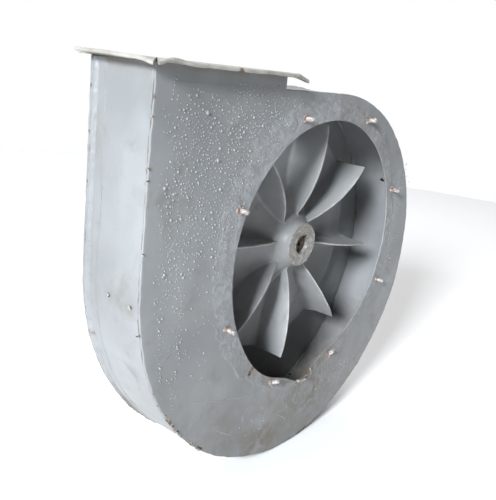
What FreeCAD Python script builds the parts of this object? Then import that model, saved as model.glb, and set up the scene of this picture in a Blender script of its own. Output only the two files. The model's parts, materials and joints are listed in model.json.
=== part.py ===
"""Scroll-case blower with an open paddle wheel, belt or coupling driven from behind.

The origin is the centre of the inlet opening, on the outer face of the front plate.
X points right, Y points into the casing along the shaft and Z points up, in millimetres.
Clock angles are in degrees, clockwise from the top, seen from the front.
"""
import FreeCAD
import Part
import Sketcher
import math
import os

Vector = FreeCAD.Vector
Rotation = FreeCAD.Rotation

# ---------------------------------------------------------------------------
# Driving dimensions
# ---------------------------------------------------------------------------

DIMENSIONS = [
    # casing
    ("inlet_diameter", 525, "opening in the front plate"),
    ("casing_depth", 145, "front face to back face"),
    ("plate_thickness", 4, "front and back plates"),
    ("wrapper_thickness", 3, "scroll wrapper"),
    ("cutoff_thickness", 4, "duct wall on the cutoff side"),
    ("front_overhang", 1, "front plate past the wrapper"),
    ("back_overhang", 3, "back plate past the wrapper"),
    ("duct_left_x", -469, "outer face of the straight duct wall"),
    ("duct_right_x", -178, "outer face of the cutoff wall"),
    ("duct_top_z", 335, "top of the duct walls"),
    ("tongue_drop", 30, "cutoff wall below the top of the scroll"),
    ("scroll_start_z", 4, "where the straight wall turns into the scroll"),
    ("scroll_radius_lower", 438, "lower left arc of the scroll"),
    ("scroll_radius_side", 402, "lower right arc of the scroll"),
    ("scroll_radius_upper", 358, "upper right arc of the scroll"),
    ("scroll_side_angle", 18.5, "where the upper arc starts, below level"),
    ("drain_diameter", 9, "drain hole through the bottom of the wrapper"),
    ("drain_x", 157, "drain hole, right of the shaft"),
    ("drain_edge", 6, "middle of the drain hole to the back plate"),
    ("lip_width", 27, "outlet flange past the duct walls"),
    ("lip_thickness", 6, "outlet flange strips"),
    ("lip_corner_cut", 20, "strips short of the flange's left corners"),
    # inlet studs
    ("stud_count", 8, "studs round the inlet"),
    ("stud_setback", 23.5, "middle of a stud to the rim of the opening"),
    ("stud_diameter", 8, "M8 weld studs"),
    ("stud_length", 20, "stud in front of the plate"),
    ("stud_first_angle", 22.5, "clock angle of the first stud"),
    # wheel
    ("wheel_diameter", 500, "over the blade tips"),
    ("tip_front_y", 40, "front corner of a blade"),
    ("disc_front_y", 117, "front face of the back disc at its rim"),
    ("disc_thickness", 4, "back disc"),
    ("disc_edge_step", 2, "disc rim inside the blade tips"),
    ("disc_flat_radius", 150, "where the flat rim turns into the cone"),
    ("disc_seat_radius", 64, "where the disc is welded to the hub"),
    ("blade_count", 8, "radial blades"),
    ("blade_thickness", 4, "blade plate"),
    ("blade_first_angle", 6.5, "clock angle of the first blade"),
    ("blade_root_radius", 60, "inner end of a blade"),
    ("blade_root_lift", 3, "height of the blade at its inner end"),
    ("blade_bulge", 16, "how far the front edge bows forward"),
    ("hub_front_y", 45, "front face of the hub"),
    ("hub_diameter", 92, "hub boss"),
    ("hub_collar_length", 8, "cylinder in front of the cone"),
    ("hub_back_y", 130, "rear face of the hub"),
    ("hub_web", 12, "thickness of the hub cone beside the boss"),
    ("set_screw_diameter", 8, "M8 set screw over the key"),
    ("set_screw_y", 62, "place of the set screw along the hub"),
    ("set_screw_recess", 2, "set screw below the hub's surface"),
    # shaft
    ("hub_bore", 38, "wheel seat on the shaft"),
    ("shaft_front_y", 53, "front end of the shaft"),
    ("shaft_collar_diameter", 48, "collar between hub and bearing"),
    ("bearing_bore", 40, "bearing seats on the shaft"),
    ("drive_diameter", 38, "drive end of the shaft"),
    ("drive_length", 75, "drive end of the shaft"),
    ("drive_gap", 12, "shaft between the rear cover and the drive end"),
    ("key_width", 10, "keys of both shaft ends"),
    ("key_height", 8, "keys of both shaft ends"),
    ("key_depth", 5, "keyway in the shaft"),
    ("key_angle", 29, "clock angle of the keys"),
    ("wheel_key_length", 56, "key under the hub"),
    ("wheel_key_setback", 4, "key in front of the shaft collar"),
    ("key_top_gap", 0.3, "key to the roof of the hub's keyway"),
    ("drive_key_length", 56, "keyway at the drive end"),
    ("centre_hole_diameter", 8, "centre hole in the shaft's front end"),
    ("centre_hole_depth", 16, "centre hole in the shaft's front end"),
    ("circlip_width", 1.75, "circlip behind the rear bearing"),
    ("circlip_groove", 1.2, "depth of the circlip groove"),
    ("circlip_height", 3.5, "circlip above the shaft"),
    # bearings
    ("bearing_outside", 80, "outside diameter of a bearing"),
    ("bearing_width", 18, "width of a bearing"),
    ("bearing_distance", 110, "front of one bearing to front of the other"),
    ("ball_diameter", 11.9, "bearing balls"),
    ("ball_count", 9, "balls in one bearing"),
    ("race_gap", 6.4, "gap between inner and outer rings"),
    ("race_clearance", 0.3, "between a ball and its races"),
    ("cage_thickness", 3, "ball cage, radially"),
    ("cage_width", 15.5, "ball cage, along the shaft"),
    ("pocket_clearance", 0.2, "ball in its cage pocket"),
    # bearing housing
    ("barrel_wall", 20, "housing behind the flange, round a bearing"),
    ("spigot_wall", 18, "housing in front of the flange, round a bearing"),
    ("spigot_clearance", 0.25, "spigot in the back plate, radially"),
    ("housing_bolt_setback", 35, "middle of a bolt to the barrel"),
    ("flange_rim", 15, "housing flange past the middle of a bolt"),
    ("flange_thickness", 14, "housing flange"),
    ("shoulder_height", 4, "shoulder beside each bearing"),
    ("ring_rim", 30, "reinforcing ring past the housing flange"),
    ("ring_thickness", 8, "reinforcing ring on the back plate"),
    ("cover_thickness", 6, "bearing covers"),
    ("cover_rim", 16, "cover past the bearing's outside, radially"),
    ("cover_spigot", 7.6, "cover spigot inside the housing"),
    ("cover_fit", 0.2, "cover spigot in the housing, radially"),
    ("cover_gap", 0.4, "cover spigot to the bearing beside it"),
    ("cover_lip_height", 3, "lip behind the seal, radially"),
    ("cover_lip_length", 2, "lip behind the seal, along the shaft"),
    ("seal_height", 9, "shaft seals, radially"),
    ("seal_width", 8, "shaft seals, along the shaft"),
    ("seal_recess", 0.5, "seal below the cover's face"),
    ("running_clearance", 0.08, "seal lip to the shaft, radially"),
    # fasteners
    ("housing_bolt_count", 6, "bolts through the housing flange"),
    ("housing_bolt_diameter", 10, "M10"),
    ("housing_bolt_tail", 2, "bolt past its nut"),
    ("cover_screw_count", 4, "screws in each bearing cover"),
    ("cover_screw_setback", 9, "middle of a cover screw to the bearing's outside"),
    ("cover_screw_diameter", 6, "M6"),
    ("cover_screw_angle", 45, "clock angle of the first cover screw"),
    ("cover_screw_reach", 12, "depth of the tapped holes"),
    ("cover_screw_gap", 1, "screw end to the bottom of its hole"),
    ("hole_clearance", 0.5, "bolt in its hole, radially"),
    ("nipple_stem_diameter", 6, "grease nipples"),
    ("nipple_thread", 6, "grease nipple inside the barrel"),
    ("nipple_height", 14, "grease nipples above the housing"),
    ("nipple_base_diameter", 10, "cone round a nipple's stem, at its foot"),
    ("nipple_base_height", 10, "cone round a nipple's stem"),
    ("nipple_seat", 0.4, "cone above the crown of the barrel"),
    ("nipple_distance", 14, "nipple to the bearing beside it"),
]

# proportions of standard fasteners, as shares of the thread diameter
HEAD_ACROSS_CORNERS = 1.9
HEAD_HEIGHT = 0.65
NUT_HEIGHT = 0.8
WASHER_DIAMETER = 2.0
WASHER_HEIGHT = 0.2


class Size:
    """A length or angle kept both as a number and as the sheet formula that gives it."""

    def __init__(self, value, formula=None):
        self.value = float(value)
        self.formula = formula if formula is not None else repr(float(value))

    def _join(self, other, value, sign):
        return Size(value, "(" + self.formula + sign + other.formula + ")")

    def __add__(self, other):
        other = size_of(other)
        return self._join(other, self.value + other.value, " + ")

    def __sub__(self, other):
        other = size_of(other)
        return self._join(other, self.value - other.value, " - ")

    def __mul__(self, other):
        other = size_of(other)
        return self._join(other, self.value * other.value, " * ")

    def __truediv__(self, other):
        other = size_of(other)
        return self._join(other, self.value / other.value, " / ")

    def __rsub__(self, other):
        return size_of(other) - self

    def __neg__(self):
        return Size(-self.value, "(0 - " + self.formula + ")")

    __radd__ = __add__
    __rmul__ = __mul__


def size_of(number):
    """Turn a plain number into a Size."""
    return number if isinstance(number, Size) else Size(number)


def sine(angle):
    """Sine of an angle in degrees."""
    return Size(math.sin(math.radians(angle.value)), "sin(" + angle.formula + ")")


def cosine(angle):
    """Cosine of an angle in degrees."""
    return Size(math.cos(math.radians(angle.value)), "cos(" + angle.formula + ")")


def root(number):
    """Square root."""
    return Size(math.sqrt(number.value), "sqrt(" + number.formula + ")")


# ---------------------------------------------------------------------------
# Document and sheet
# ---------------------------------------------------------------------------

document = FreeCAD.newDocument("ScrollBlower")
sheet = document.addObject("Spreadsheet::Sheet", "Sizes")
parts = []


class Sizes:
    """The sheet's driving dimensions, one Size for each alias."""


for row, (alias, value, note) in enumerate(DIMENSIONS, start=1):
    sheet.set("A%d" % row, alias)
    sheet.set("B%d" % row, str(value))
    sheet.set("C%d" % row, note)
    sheet.setAlias("B%d" % row, alias)
    setattr(Sizes, alias, Size(value, "Sizes." + alias))
document.recompute()

s = Sizes
ZERO = Size(0)

# Stations along Y, worked out from the driving dimensions.
plate_inner_y = s.plate_thickness
back_inner_y = s.casing_depth - s.plate_thickness
back_outer_y = s.casing_depth
ring_outer_y = back_outer_y + s.ring_thickness
flange_outer_y = ring_outer_y + s.flange_thickness
housing_front_y = back_inner_y
front_bearing_y = housing_front_y + s.cover_spigot + s.cover_gap
front_shoulder_y = front_bearing_y + s.bearing_width
rear_bearing_y = front_bearing_y + s.bearing_distance
rear_bearing_end_y = rear_bearing_y + s.bearing_width
housing_back_y = rear_bearing_end_y + s.cover_spigot + s.cover_gap
drive_front_y = housing_back_y + s.cover_thickness + s.drive_gap
shaft_back_y = drive_front_y + s.drive_length

# Scroll: three arcs that run into each other, each centred on the normal they share.
lower_centre_x = s.duct_left_x + s.scroll_radius_lower
lower_centre_z = s.scroll_start_z
side_centre_x = lower_centre_x
side_centre_z = lower_centre_z - (s.scroll_radius_lower - s.scroll_radius_side)
upper_shift = s.scroll_radius_side - s.scroll_radius_upper
upper_centre_x = side_centre_x + upper_shift * cosine(s.scroll_side_angle)
upper_centre_z = side_centre_z - upper_shift * sine(s.scroll_side_angle)
scroll_top_z = upper_centre_z + s.scroll_radius_upper

# Radii
inlet_radius = s.inlet_diameter / 2
stud_circle = s.inlet_diameter + s.stud_setback * 2
wheel_radius = s.wheel_diameter / 2
hub_radius = s.hub_diameter / 2
bore_radius = s.hub_bore / 2
journal_radius = s.bearing_bore / 2
bearing_radius = s.bearing_outside / 2
pitch_radius = (journal_radius + bearing_radius) / 2
shoulder_radius = bearing_radius - s.shoulder_height
spigot_radius = bearing_radius + s.spigot_wall
barrel_radius = bearing_radius + s.barrel_wall
cover_radius = bearing_radius + s.cover_rim
cover_screw_circle = (bearing_radius + s.cover_screw_setback) * 2
housing_bolt_circle = (barrel_radius + s.housing_bolt_setback) * 2
flange_radius = housing_bolt_circle / 2 + s.flange_rim
ring_radius = flange_radius + s.ring_rim


# ---------------------------------------------------------------------------
# Helpers
# ---------------------------------------------------------------------------

def bind(item, path, size):
    """Drive one property of an object from the sheet."""
    item.setExpression(path, size.formula)


def keep(item, label):
    """Name a finished sub-part and list it for export."""
    item.Label = label
    parts.append(item)
    return item


def plane_of(body, role):
    """One of a body's own origin planes or axes."""
    return next(entry for entry in body.Origin.OriginFeatures if entry.Role == role)


def new_sketch(body, role, offset=ZERO):
    """A sketch on an origin plane of its body, moved along the plane's normal."""
    sketch = body.newObject("Sketcher::SketchObject", body.Name + "Sketch")
    sketch.AttachmentSupport = [(plane_of(body, role), "")]
    sketch.MapMode = "FlatFace"
    bind(sketch, "AttachmentOffset.Base.z", offset)
    return sketch


def constrain(sketch, kind, *arguments):
    """Add a dimension whose value comes from the sheet."""
    size = arguments[-1]
    index = sketch.addConstraint(Sketcher.Constraint(kind, *arguments[:-1], size.value))
    sketch.setExpression("Constraints[%d]" % index, size.formula)


def fix_point(sketch, geometry, end, point):
    """Dimension one point of a sketch from the sketch's origin."""
    constrain(sketch, "DistanceX", -1, 1, geometry, end, point[0])
    constrain(sketch, "DistanceY", -1, 1, geometry, end, point[1])


def arc_geometry(start, stop, centre, radius, turn):
    """An arc from start to stop; turn is +1 anticlockwise and -1 clockwise."""
    first, last = (start, stop) if turn > 0 else (stop, start)
    middle = Vector(centre[0].value, centre[1].value, 0)
    circle = Part.Circle(middle, Vector(0, 0, 1), radius.value)
    angles = [math.atan2(p[1].value - middle.y, p[0].value - middle.x) for p in (first, last)]
    return Part.ArcOfCircle(circle, *angles)


def draw_outline(sketch, steps):
    """Draw a closed outline: a step is a point, or (point, centre, radius, turn) for an arc."""
    points = [step[0] if len(step) == 4 else step for step in steps]
    ends = []
    for index, step in enumerate(steps):
        start = points[index - 1]
        if len(step) == 4:
            stop, centre, radius, turn = step
            geometry = sketch.addGeometry(arc_geometry(start, stop, centre, radius, turn))
            constrain(sketch, "Radius", geometry, radius)
            ends.append((geometry, 1, 2) if turn > 0 else (geometry, 2, 1))
        else:
            corners = [Vector(p[0].value, p[1].value, 0) for p in (start, step)]
            geometry = sketch.addGeometry(Part.LineSegment(*corners))
            ends.append((geometry, 1, 2))
    for index, (geometry, start_end, stop_end) in enumerate(ends):
        before, _, before_stop = ends[index - 1]
        joined = Sketcher.Constraint("Coincident", before, before_stop, geometry, start_end)
        sketch.addConstraint(joined)
        fix_point(sketch, geometry, stop_end, points[index])


def draw_circle(sketch, centre, radius):
    """Draw a dimensioned circle."""
    middle = Vector(centre[0].value, centre[1].value, 0)
    geometry = sketch.addGeometry(Part.Circle(middle, Vector(0, 0, 1), radius.value))
    fix_point(sketch, geometry, 3, centre)
    constrain(sketch, "Radius", geometry, radius)


def draw_box(sketch, low, high):
    """Draw a dimensioned rectangle."""
    draw_outline(sketch, [low, (high[0], low[1]), high, (low[0], high[1])])


def new_body(label):
    """A PartDesign body that becomes one sub-part."""
    return keep(document.addObject("PartDesign::Body", label), label)


def pad(body, sketch, length, backwards=False, both_ways=False):
    """Extrude a sketch."""
    feature = body.newObject("PartDesign::Pad", body.Name + "Pad")
    feature.Profile = sketch
    feature.Reversed = backwards
    feature.Midplane = both_ways
    bind(feature, "Length", length)
    return feature


def revolve(body, sketch):
    """Turn a profile of (radius, y) points into a solid round the Y axis."""
    feature = body.newObject("PartDesign::Revolution", body.Name + "Turned")
    feature.Profile = sketch
    feature.ReferenceAxis = (sketch, ["V_Axis"])
    feature.Angle = 360
    return feature


def cut(body, sketch, backwards=False, depth=None):
    """Cut a sketch to a depth, or right through, and make sure that it cut something."""
    document.recompute()
    before = body.Shape.Volume
    feature = body.newObject("PartDesign::Pocket", body.Name + "Cut")
    feature.Profile = sketch
    feature.Reversed = backwards
    if depth is None:
        feature.Type = "ThroughAll"
    else:
        bind(feature, "Length", depth)
    document.recompute()
    if body.Shape.Volume >= before:
        raise RuntimeError(body.Label + ": a cut removed nothing")
    return feature


def turned_body(label, outline):
    """A body turned round the Y axis."""
    body = new_body(label)
    draw_outline(new_sketch(body, "XY_Plane"), outline)
    document.recompute()
    revolve(body, body.Group[-1])
    return body


def sleeve(inner, outer, front, back):
    """The outline of a plain ring for turned_body."""
    return [(inner, front), (outer, front), (outer, back), (inner, back)]


def turn_to(item, clock_angle):
    """Turn an object built along +X round the Y axis to a clock angle."""
    angle = clock_angle - 90
    item.setExpression("Placement", "create(<<placement>>; create(<<vector>>; 0; 0; 0); "
                       "create(<<rotation>>; create(<<vector>>; 0; 1; 0); %s))" % angle.formula)


def on_circle(diameter, clock_angle):
    """The (x, z) place of a clock angle on a circle."""
    return diameter / 2 * sine(clock_angle), diameter / 2 * cosine(clock_angle)


def set_along_y(item, x, y, z):
    """Stand a Part primitive along +Y with its base at (x, y, z)."""
    item.Placement = FreeCAD.Placement(Vector(0, 0, 0), Rotation(Vector(1, 0, 0), -90))
    bind(item, "Placement.Base.x", x)
    bind(item, "Placement.Base.y", y)
    bind(item, "Placement.Base.z", z)
    return item


def cylinder(name, radius, height, x, y, z):
    """A cylinder along +Y."""
    item = document.addObject("Part::Cylinder", name)
    bind(item, "Radius", radius)
    bind(item, "Height", height)
    return set_along_y(item, x, y, z)


def hexagon(name, corner_radius, height, x, y, z):
    """A hexagonal prism along +Y."""
    item = document.addObject("Part::Prism", name)
    item.Polygon = 6
    bind(item, "Circumradius", corner_radius)
    bind(item, "Height", height)
    return set_along_y(item, x, y, z)


def join(name, first, second):
    """The union of two objects."""
    item = document.addObject("Part::Fuse", name)
    item.Base = first
    item.Tool = second
    return item


def subtract(name, base, tool):
    """One object less another."""
    item = document.addObject("Part::Cut", name)
    item.Base = base
    item.Tool = tool
    return item


def ring(name, outer, inner, height, x, y, z):
    """A flat ring along +Y."""
    solid = cylinder(name + "Solid", outer, height, x, y, z)
    hole = cylinder(name + "Hole", inner, height, x, y, z)
    return subtract(name, solid, hole)


def group(label, members):
    """Identical fasteners kept together as one sub-part."""
    item = document.addObject("Part::Compound", label)
    item.Links = members
    return keep(item, label)


def clock_angles(count, first=ZERO):
    """Evenly spaced clock angles."""
    spacing = size_of(360) / count
    return [first + spacing * step for step in range(int(count.value))]


# ---------------------------------------------------------------------------
# Casing
# ---------------------------------------------------------------------------

def scroll_arcs(grow, backwards=False):
    """The three arcs of the scroll, moved outwards by grow, from the duct wall to the top."""
    radii = [radius + grow for radius in
             (s.scroll_radius_lower, s.scroll_radius_side, s.scroll_radius_upper)]
    centres = [(lower_centre_x, lower_centre_z), (side_centre_x, side_centre_z),
               (upper_centre_x, upper_centre_z)]
    joints = [
        (lower_centre_x - radii[0], lower_centre_z),
        (lower_centre_x, lower_centre_z - radii[0]),
        (side_centre_x + radii[1] * cosine(s.scroll_side_angle),
         side_centre_z - radii[1] * sine(s.scroll_side_angle)),
        (upper_centre_x, upper_centre_z + radii[2]),
    ]
    forward = [(joints[i + 1], centres[i], radii[i], 1) for i in range(3)]
    reverse = [(joints[i], centres[i], radii[i], -1) for i in (2, 1, 0)]
    return [joints[3]] + reverse if backwards else [joints[0]] + forward


def plate_outline(grow):
    """The outline of a side plate that stands out past the wrapper by grow."""
    right = s.duct_right_x + grow
    corners = [(right, scroll_top_z + grow), (right, s.duct_top_z),
               (s.duct_left_x - grow, s.duct_top_z)]
    return scroll_arcs(grow) + corners


def side_plate(label, grow, front_y, opening_radius):
    """A flat side of the casing with a round opening."""
    body = new_body(label)
    sketch = new_sketch(body, "XZ_Plane", -front_y)
    draw_outline(sketch, plate_outline(grow))
    draw_circle(sketch, (ZERO, ZERO), opening_radius)
    pad(body, sketch, s.plate_thickness, backwards=True)
    return body


def add_bolt_holes(body, count, circle, radius, first=ZERO):
    """Cut a ring of bolt holes along Y right through a body."""
    sketch = new_sketch(body, "XZ_Plane")
    for angle in clock_angles(count, first):
        draw_circle(sketch, on_circle(circle, angle), radius)
    cut(body, sketch)


side_plate("front_plate", s.front_overhang, ZERO, inlet_radius)
spigot_hole = spigot_radius + s.spigot_clearance
back_plate = side_plate("back_plate", s.back_overhang, back_inner_y, spigot_hole)
bolt_hole_radius = s.housing_bolt_diameter / 2 + s.hole_clearance
add_bolt_holes(back_plate, s.housing_bolt_count, housing_bolt_circle, bolt_hole_radius)


def scroll_wrapper():
    """The rolled strip between the side plates, with a drain hole low down at the back."""
    body = new_body("scroll_wrapper")
    sketch = new_sketch(body, "XZ_Plane", -plate_inner_y)
    inner = -s.wrapper_thickness
    outer_path = [(s.duct_left_x, s.duct_top_z)] + scroll_arcs(ZERO)
    top_end = [(s.duct_right_x, scroll_top_z), (s.duct_right_x, scroll_top_z + inner)]
    inner_path = scroll_arcs(inner, backwards=True) + [(s.duct_left_x - inner, s.duct_top_z)]
    draw_outline(sketch, outer_path + top_end + inner_path)
    pad(body, sketch, back_inner_y - plate_inner_y, backwards=True)
    drain = new_sketch(body, "XY_Plane")
    draw_circle(drain, (s.drain_x, back_inner_y - s.drain_edge), s.drain_diameter / 2)
    cut(body, drain)


def cutoff_plate():
    """The duct wall above the wheel; its lower edge parts the outgoing air from the scroll."""
    body = new_body("cutoff_plate")
    sketch = new_sketch(body, "XZ_Plane", -plate_inner_y)
    low = (s.duct_right_x - s.cutoff_thickness, scroll_top_z - s.tongue_drop)
    draw_box(sketch, low, (s.duct_right_x, s.duct_top_z))
    pad(body, sketch, back_inner_y - plate_inner_y, backwards=True)


def outlet_flange():
    """Four strips round the outlet: cut corners on the left, butted ends on the right."""
    left_inner = s.duct_left_x + s.wrapper_thickness
    right_inner = s.duct_right_x - s.cutoff_thickness
    left_outer = s.duct_left_x - s.lip_width
    right_outer = s.duct_right_x + s.lip_width
    short_end = left_outer + s.lip_corner_cut
    right = s.duct_right_x
    near, far = plate_inner_y, back_inner_y
    front = -s.lip_width
    back = s.casing_depth + s.lip_width
    left_front = front + s.lip_corner_cut
    left_back = back - s.lip_corner_cut
    strips = {
        "outlet_flange_left": [(left_inner, near), (left_inner, far),
                               (left_outer, left_back), (left_outer, left_front)],
        "outlet_flange_right": [(right_inner, near), (right, near), (right, front),
                                (right_outer, front), (right_outer, back), (right, back),
                                (right, far), (right_inner, far)],
        "outlet_flange_front": [(left_inner, near), (short_end, front),
                                (right, front), (right, near)],
        "outlet_flange_back": [(left_inner, far), (right, far),
                               (right, back), (short_end, back)],
    }
    for label, outline in strips.items():
        body = new_body(label)
        sketch = new_sketch(body, "XY_Plane", s.duct_top_z)
        draw_outline(sketch, outline)
        pad(body, sketch, s.lip_thickness)


def inlet_studs():
    """Weld studs round the inlet, standing on the front plate."""
    studs = []
    for angle in clock_angles(s.stud_count, s.stud_first_angle):
        x, z = on_circle(stud_circle, angle)
        studs.append(cylinder("Stud", s.stud_diameter / 2, s.stud_length, x, -s.stud_length, z))
    group("inlet_studs", studs)


def reinforcing_ring():
    """The doubler on the back plate that the bearing housing is bolted to."""
    body = turned_body("reinforcing_ring", sleeve(spigot_hole, ring_radius,
                                                  back_outer_y, ring_outer_y))
    add_bolt_holes(body, s.housing_bolt_count, housing_bolt_circle, bolt_hole_radius)


scroll_wrapper()
cutoff_plate()
outlet_flange()
inlet_studs()
reinforcing_ring()


# ---------------------------------------------------------------------------
# Bearing housing
# ---------------------------------------------------------------------------

cover_hole_radius = s.cover_screw_diameter / 2 + s.hole_clearance


def bearing_housing():
    """A turned cartridge: spigot, flange and barrel, with a bearing seat at each end."""
    body = turned_body("bearing_housing", [
        (bearing_radius, housing_front_y), (spigot_radius, housing_front_y),
        (spigot_radius, ring_outer_y), (flange_radius, ring_outer_y),
        (flange_radius, flange_outer_y), (barrel_radius, flange_outer_y),
        (barrel_radius, housing_back_y), (bearing_radius, housing_back_y),
        (bearing_radius, rear_bearing_y), (shoulder_radius, rear_bearing_y),
        (shoulder_radius, front_shoulder_y), (bearing_radius, front_shoulder_y)])
    add_bolt_holes(body, s.housing_bolt_count, housing_bolt_circle, bolt_hole_radius)
    for face_y, behind in ((housing_front_y, False), (housing_back_y, True)):
        sketch = new_sketch(body, "XZ_Plane", -face_y)
        for angle in clock_angles(s.cover_screw_count, s.cover_screw_angle):
            draw_circle(sketch, on_circle(cover_screw_circle, angle), s.cover_screw_diameter / 2)
        cut(body, sketch, backwards=behind, depth=s.cover_screw_reach)
    grease_holes(body)


nipple_stations = (front_shoulder_y + s.nipple_distance, rear_bearing_y - s.nipple_distance)


def grease_holes(body):
    """Two holes down through the top of the barrel, one beside each bearing."""
    sketch = new_sketch(body, "XY_Plane")
    for station in nipple_stations:
        draw_circle(sketch, (ZERO, station), s.nipple_stem_diameter / 2)
    cut(body, sketch, backwards=True)


def grease_nipples():
    """The two nipples that stand on the barrel over those holes."""
    nipples = []
    radius = s.nipple_stem_diameter / 2
    for station in nipple_stations:
        stem = document.addObject("Part::Cylinder", "NippleStem")
        bind(stem, "Radius", radius)
        bind(stem, "Height", s.nipple_thread + s.nipple_height)
        bind(stem, "Placement.Base.y", station)
        bind(stem, "Placement.Base.z", barrel_radius - s.nipple_thread)
        base = document.addObject("Part::Cone", "NippleBase")
        bind(base, "Radius1", s.nipple_base_diameter / 2)
        bind(base, "Radius2", radius)
        bind(base, "Height", s.nipple_base_height)
        bind(base, "Placement.Base.y", station)
        bind(base, "Placement.Base.z", barrel_radius + s.nipple_seat)
        nipples.append(join("Nipple", stem, base))
    group("grease_nipples", nipples)


def bearing_cover(label, inside_y, direction, shaft_radius):
    """A cover with a spigot in the housing and a seat for its shaft seal.

    inside_y is the housing's end face; direction is +1 when the cover lies behind it.
    """
    seal_radius = shaft_radius + s.seal_height
    outside_y = inside_y + s.cover_thickness * direction
    spigot_y = inside_y - s.cover_spigot * direction
    lip_y = spigot_y + s.cover_lip_length * direction
    lip_radius = seal_radius - s.cover_lip_height
    spigot_outer = bearing_radius - s.cover_fit
    body = turned_body(label, [
        (seal_radius, outside_y), (cover_radius, outside_y),
        (cover_radius, inside_y), (spigot_outer, inside_y), (spigot_outer, spigot_y),
        (lip_radius, spigot_y), (lip_radius, lip_y), (seal_radius, lip_y)])
    add_bolt_holes(body, s.cover_screw_count, cover_screw_circle, cover_hole_radius,
                   s.cover_screw_angle)
    seal_front = outside_y - s.seal_recess * direction
    seal_back = seal_front - s.seal_width * direction
    seal = sleeve(shaft_radius + s.running_clearance, seal_radius, seal_front, seal_back)
    turned_body(label.replace("cover", "seal"), seal)


def hex_screws(label, count, circle, first, diameter, seat_y, direction, grip):
    """Hexagon-headed screws whose heads sit on seat_y; direction points out of the seat."""
    screws = []
    head_height = diameter * HEAD_HEIGHT
    for angle in clock_angles(count, first):
        x, z = on_circle(circle, angle)
        head_y = seat_y if direction > 0 else seat_y - head_height
        shank_y = seat_y - grip if direction > 0 else seat_y
        corner_radius = diameter * (HEAD_ACROSS_CORNERS / 2)
        head = hexagon("ScrewHead", corner_radius, head_height, x, head_y, z)
        shank = cylinder("ScrewShank", diameter / 2, grip, x, shank_y, z)
        screws.append(join("Screw", head, shank))
    group(label, screws)


def housing_fasteners():
    """Bolts, washers and nuts that hold the housing, ring and back plate together."""
    diameter = s.housing_bolt_diameter
    washer_height = diameter * WASHER_HEIGHT
    nut_height = diameter * NUT_HEIGHT
    seat_y = flange_outer_y + washer_height
    grip = seat_y - back_inner_y + nut_height + s.housing_bolt_tail
    hex_screws("housing_bolts", s.housing_bolt_count, housing_bolt_circle, ZERO, diameter,
               seat_y, 1, grip)
    washers = []
    nuts = []
    for angle in clock_angles(s.housing_bolt_count):
        x, z = on_circle(housing_bolt_circle, angle)
        washers.append(ring("Washer", diameter * (WASHER_DIAMETER / 2), bolt_hole_radius,
                            washer_height, x, flange_outer_y, z))
        block = hexagon("NutBlock", diameter * (HEAD_ACROSS_CORNERS / 2), nut_height,
                        x, back_inner_y - nut_height, z)
        thread = cylinder("NutThread", diameter / 2, nut_height,
                          x, back_inner_y - nut_height, z)
        nuts.append(subtract("Nut", block, thread))
    group("housing_washers", washers)
    group("housing_nuts", nuts)


bearing_housing()
grease_nipples()
bearing_cover("front_bearing_cover", housing_front_y, -1, s.shaft_collar_diameter / 2)
bearing_cover("rear_bearing_cover", housing_back_y, 1, journal_radius)
cover_grip = s.cover_thickness + s.cover_screw_reach - s.cover_screw_gap
for place, seat_y, direction in (("front", housing_front_y - s.cover_thickness, -1),
                                 ("rear", housing_back_y + s.cover_thickness, 1)):
    hex_screws(place + "_cover_screws", s.cover_screw_count, cover_screw_circle,
               s.cover_screw_angle, s.cover_screw_diameter, seat_y, direction, cover_grip)
housing_fasteners()


# ---------------------------------------------------------------------------
# Bearings
# ---------------------------------------------------------------------------

ball_radius = s.ball_diameter / 2
groove_radius = ball_radius + s.race_clearance


def race_ring(label, inner, outer, front_y):
    """A bearing ring with the ball groove cut into it."""
    centre_y = front_y + s.bearing_width / 2
    blank = ring(label + "Blank", outer, inner, s.bearing_width, ZERO, front_y, ZERO)
    groove = document.addObject("Part::Torus", label + "Groove")
    bind(groove, "Radius1", pitch_radius)
    bind(groove, "Radius2", groove_radius)
    set_along_y(groove, ZERO, centre_y, ZERO)
    keep(subtract(label, blank, groove), label)


def balls(label, centre_y):
    """The balls of one bearing, spread round the pitch circle."""
    spheres = []
    for angle in clock_angles(s.ball_count):
        x, z = on_circle(pitch_radius * 2, angle)
        sphere = document.addObject("Part::Sphere", "Ball")
        bind(sphere, "Radius", ball_radius)
        spheres.append(set_along_y(sphere, x, centre_y, z))
    group(label, spheres)


def ball_cage(label, centre_y):
    """A ring with a round pocket for each ball."""
    inner = pitch_radius - s.cage_thickness / 2
    outer = pitch_radius + s.cage_thickness / 2
    half = s.cage_width / 2
    body = turned_body(label, sleeve(inner, outer, centre_y - half, centre_y + half))
    sketch = new_sketch(body, "XY_Plane")
    draw_circle(sketch, (ZERO, centre_y), ball_radius + s.pocket_clearance)
    pocket = cut(body, sketch, backwards=True)
    pattern = body.newObject("PartDesign::PolarPattern", "Pockets")
    pattern.Originals = [pocket]
    pattern.Axis = (plane_of(body, "Y_Axis"), [""])
    pattern.Angle = 360
    bind(pattern, "Occurrences", s.ball_count)
    body.Tip = pattern


def ball_bearing(place, front_y):
    """One deep-groove ball bearing as four sub-parts."""
    centre_y = front_y + s.bearing_width / 2
    half_gap = s.race_gap / 2
    race_ring(place + "_bearing_inner_ring", journal_radius, pitch_radius - half_gap, front_y)
    race_ring(place + "_bearing_outer_ring", pitch_radius + half_gap, bearing_radius, front_y)
    ball_cage(place + "_bearing_cage", centre_y)
    balls(place + "_bearing_balls", centre_y)


ball_bearing("front", front_bearing_y)
ball_bearing("rear", rear_bearing_y)


# ---------------------------------------------------------------------------
# Shaft and wheel
# ---------------------------------------------------------------------------

key_base = bore_radius - s.key_depth
key_top = key_base + s.key_height
wheel_key_y = s.hub_back_y - s.wheel_key_length - s.wheel_key_setback
drive_key_y = drive_front_y + (s.drive_length - s.drive_key_length) / 2
groove_y = rear_bearing_end_y


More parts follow.
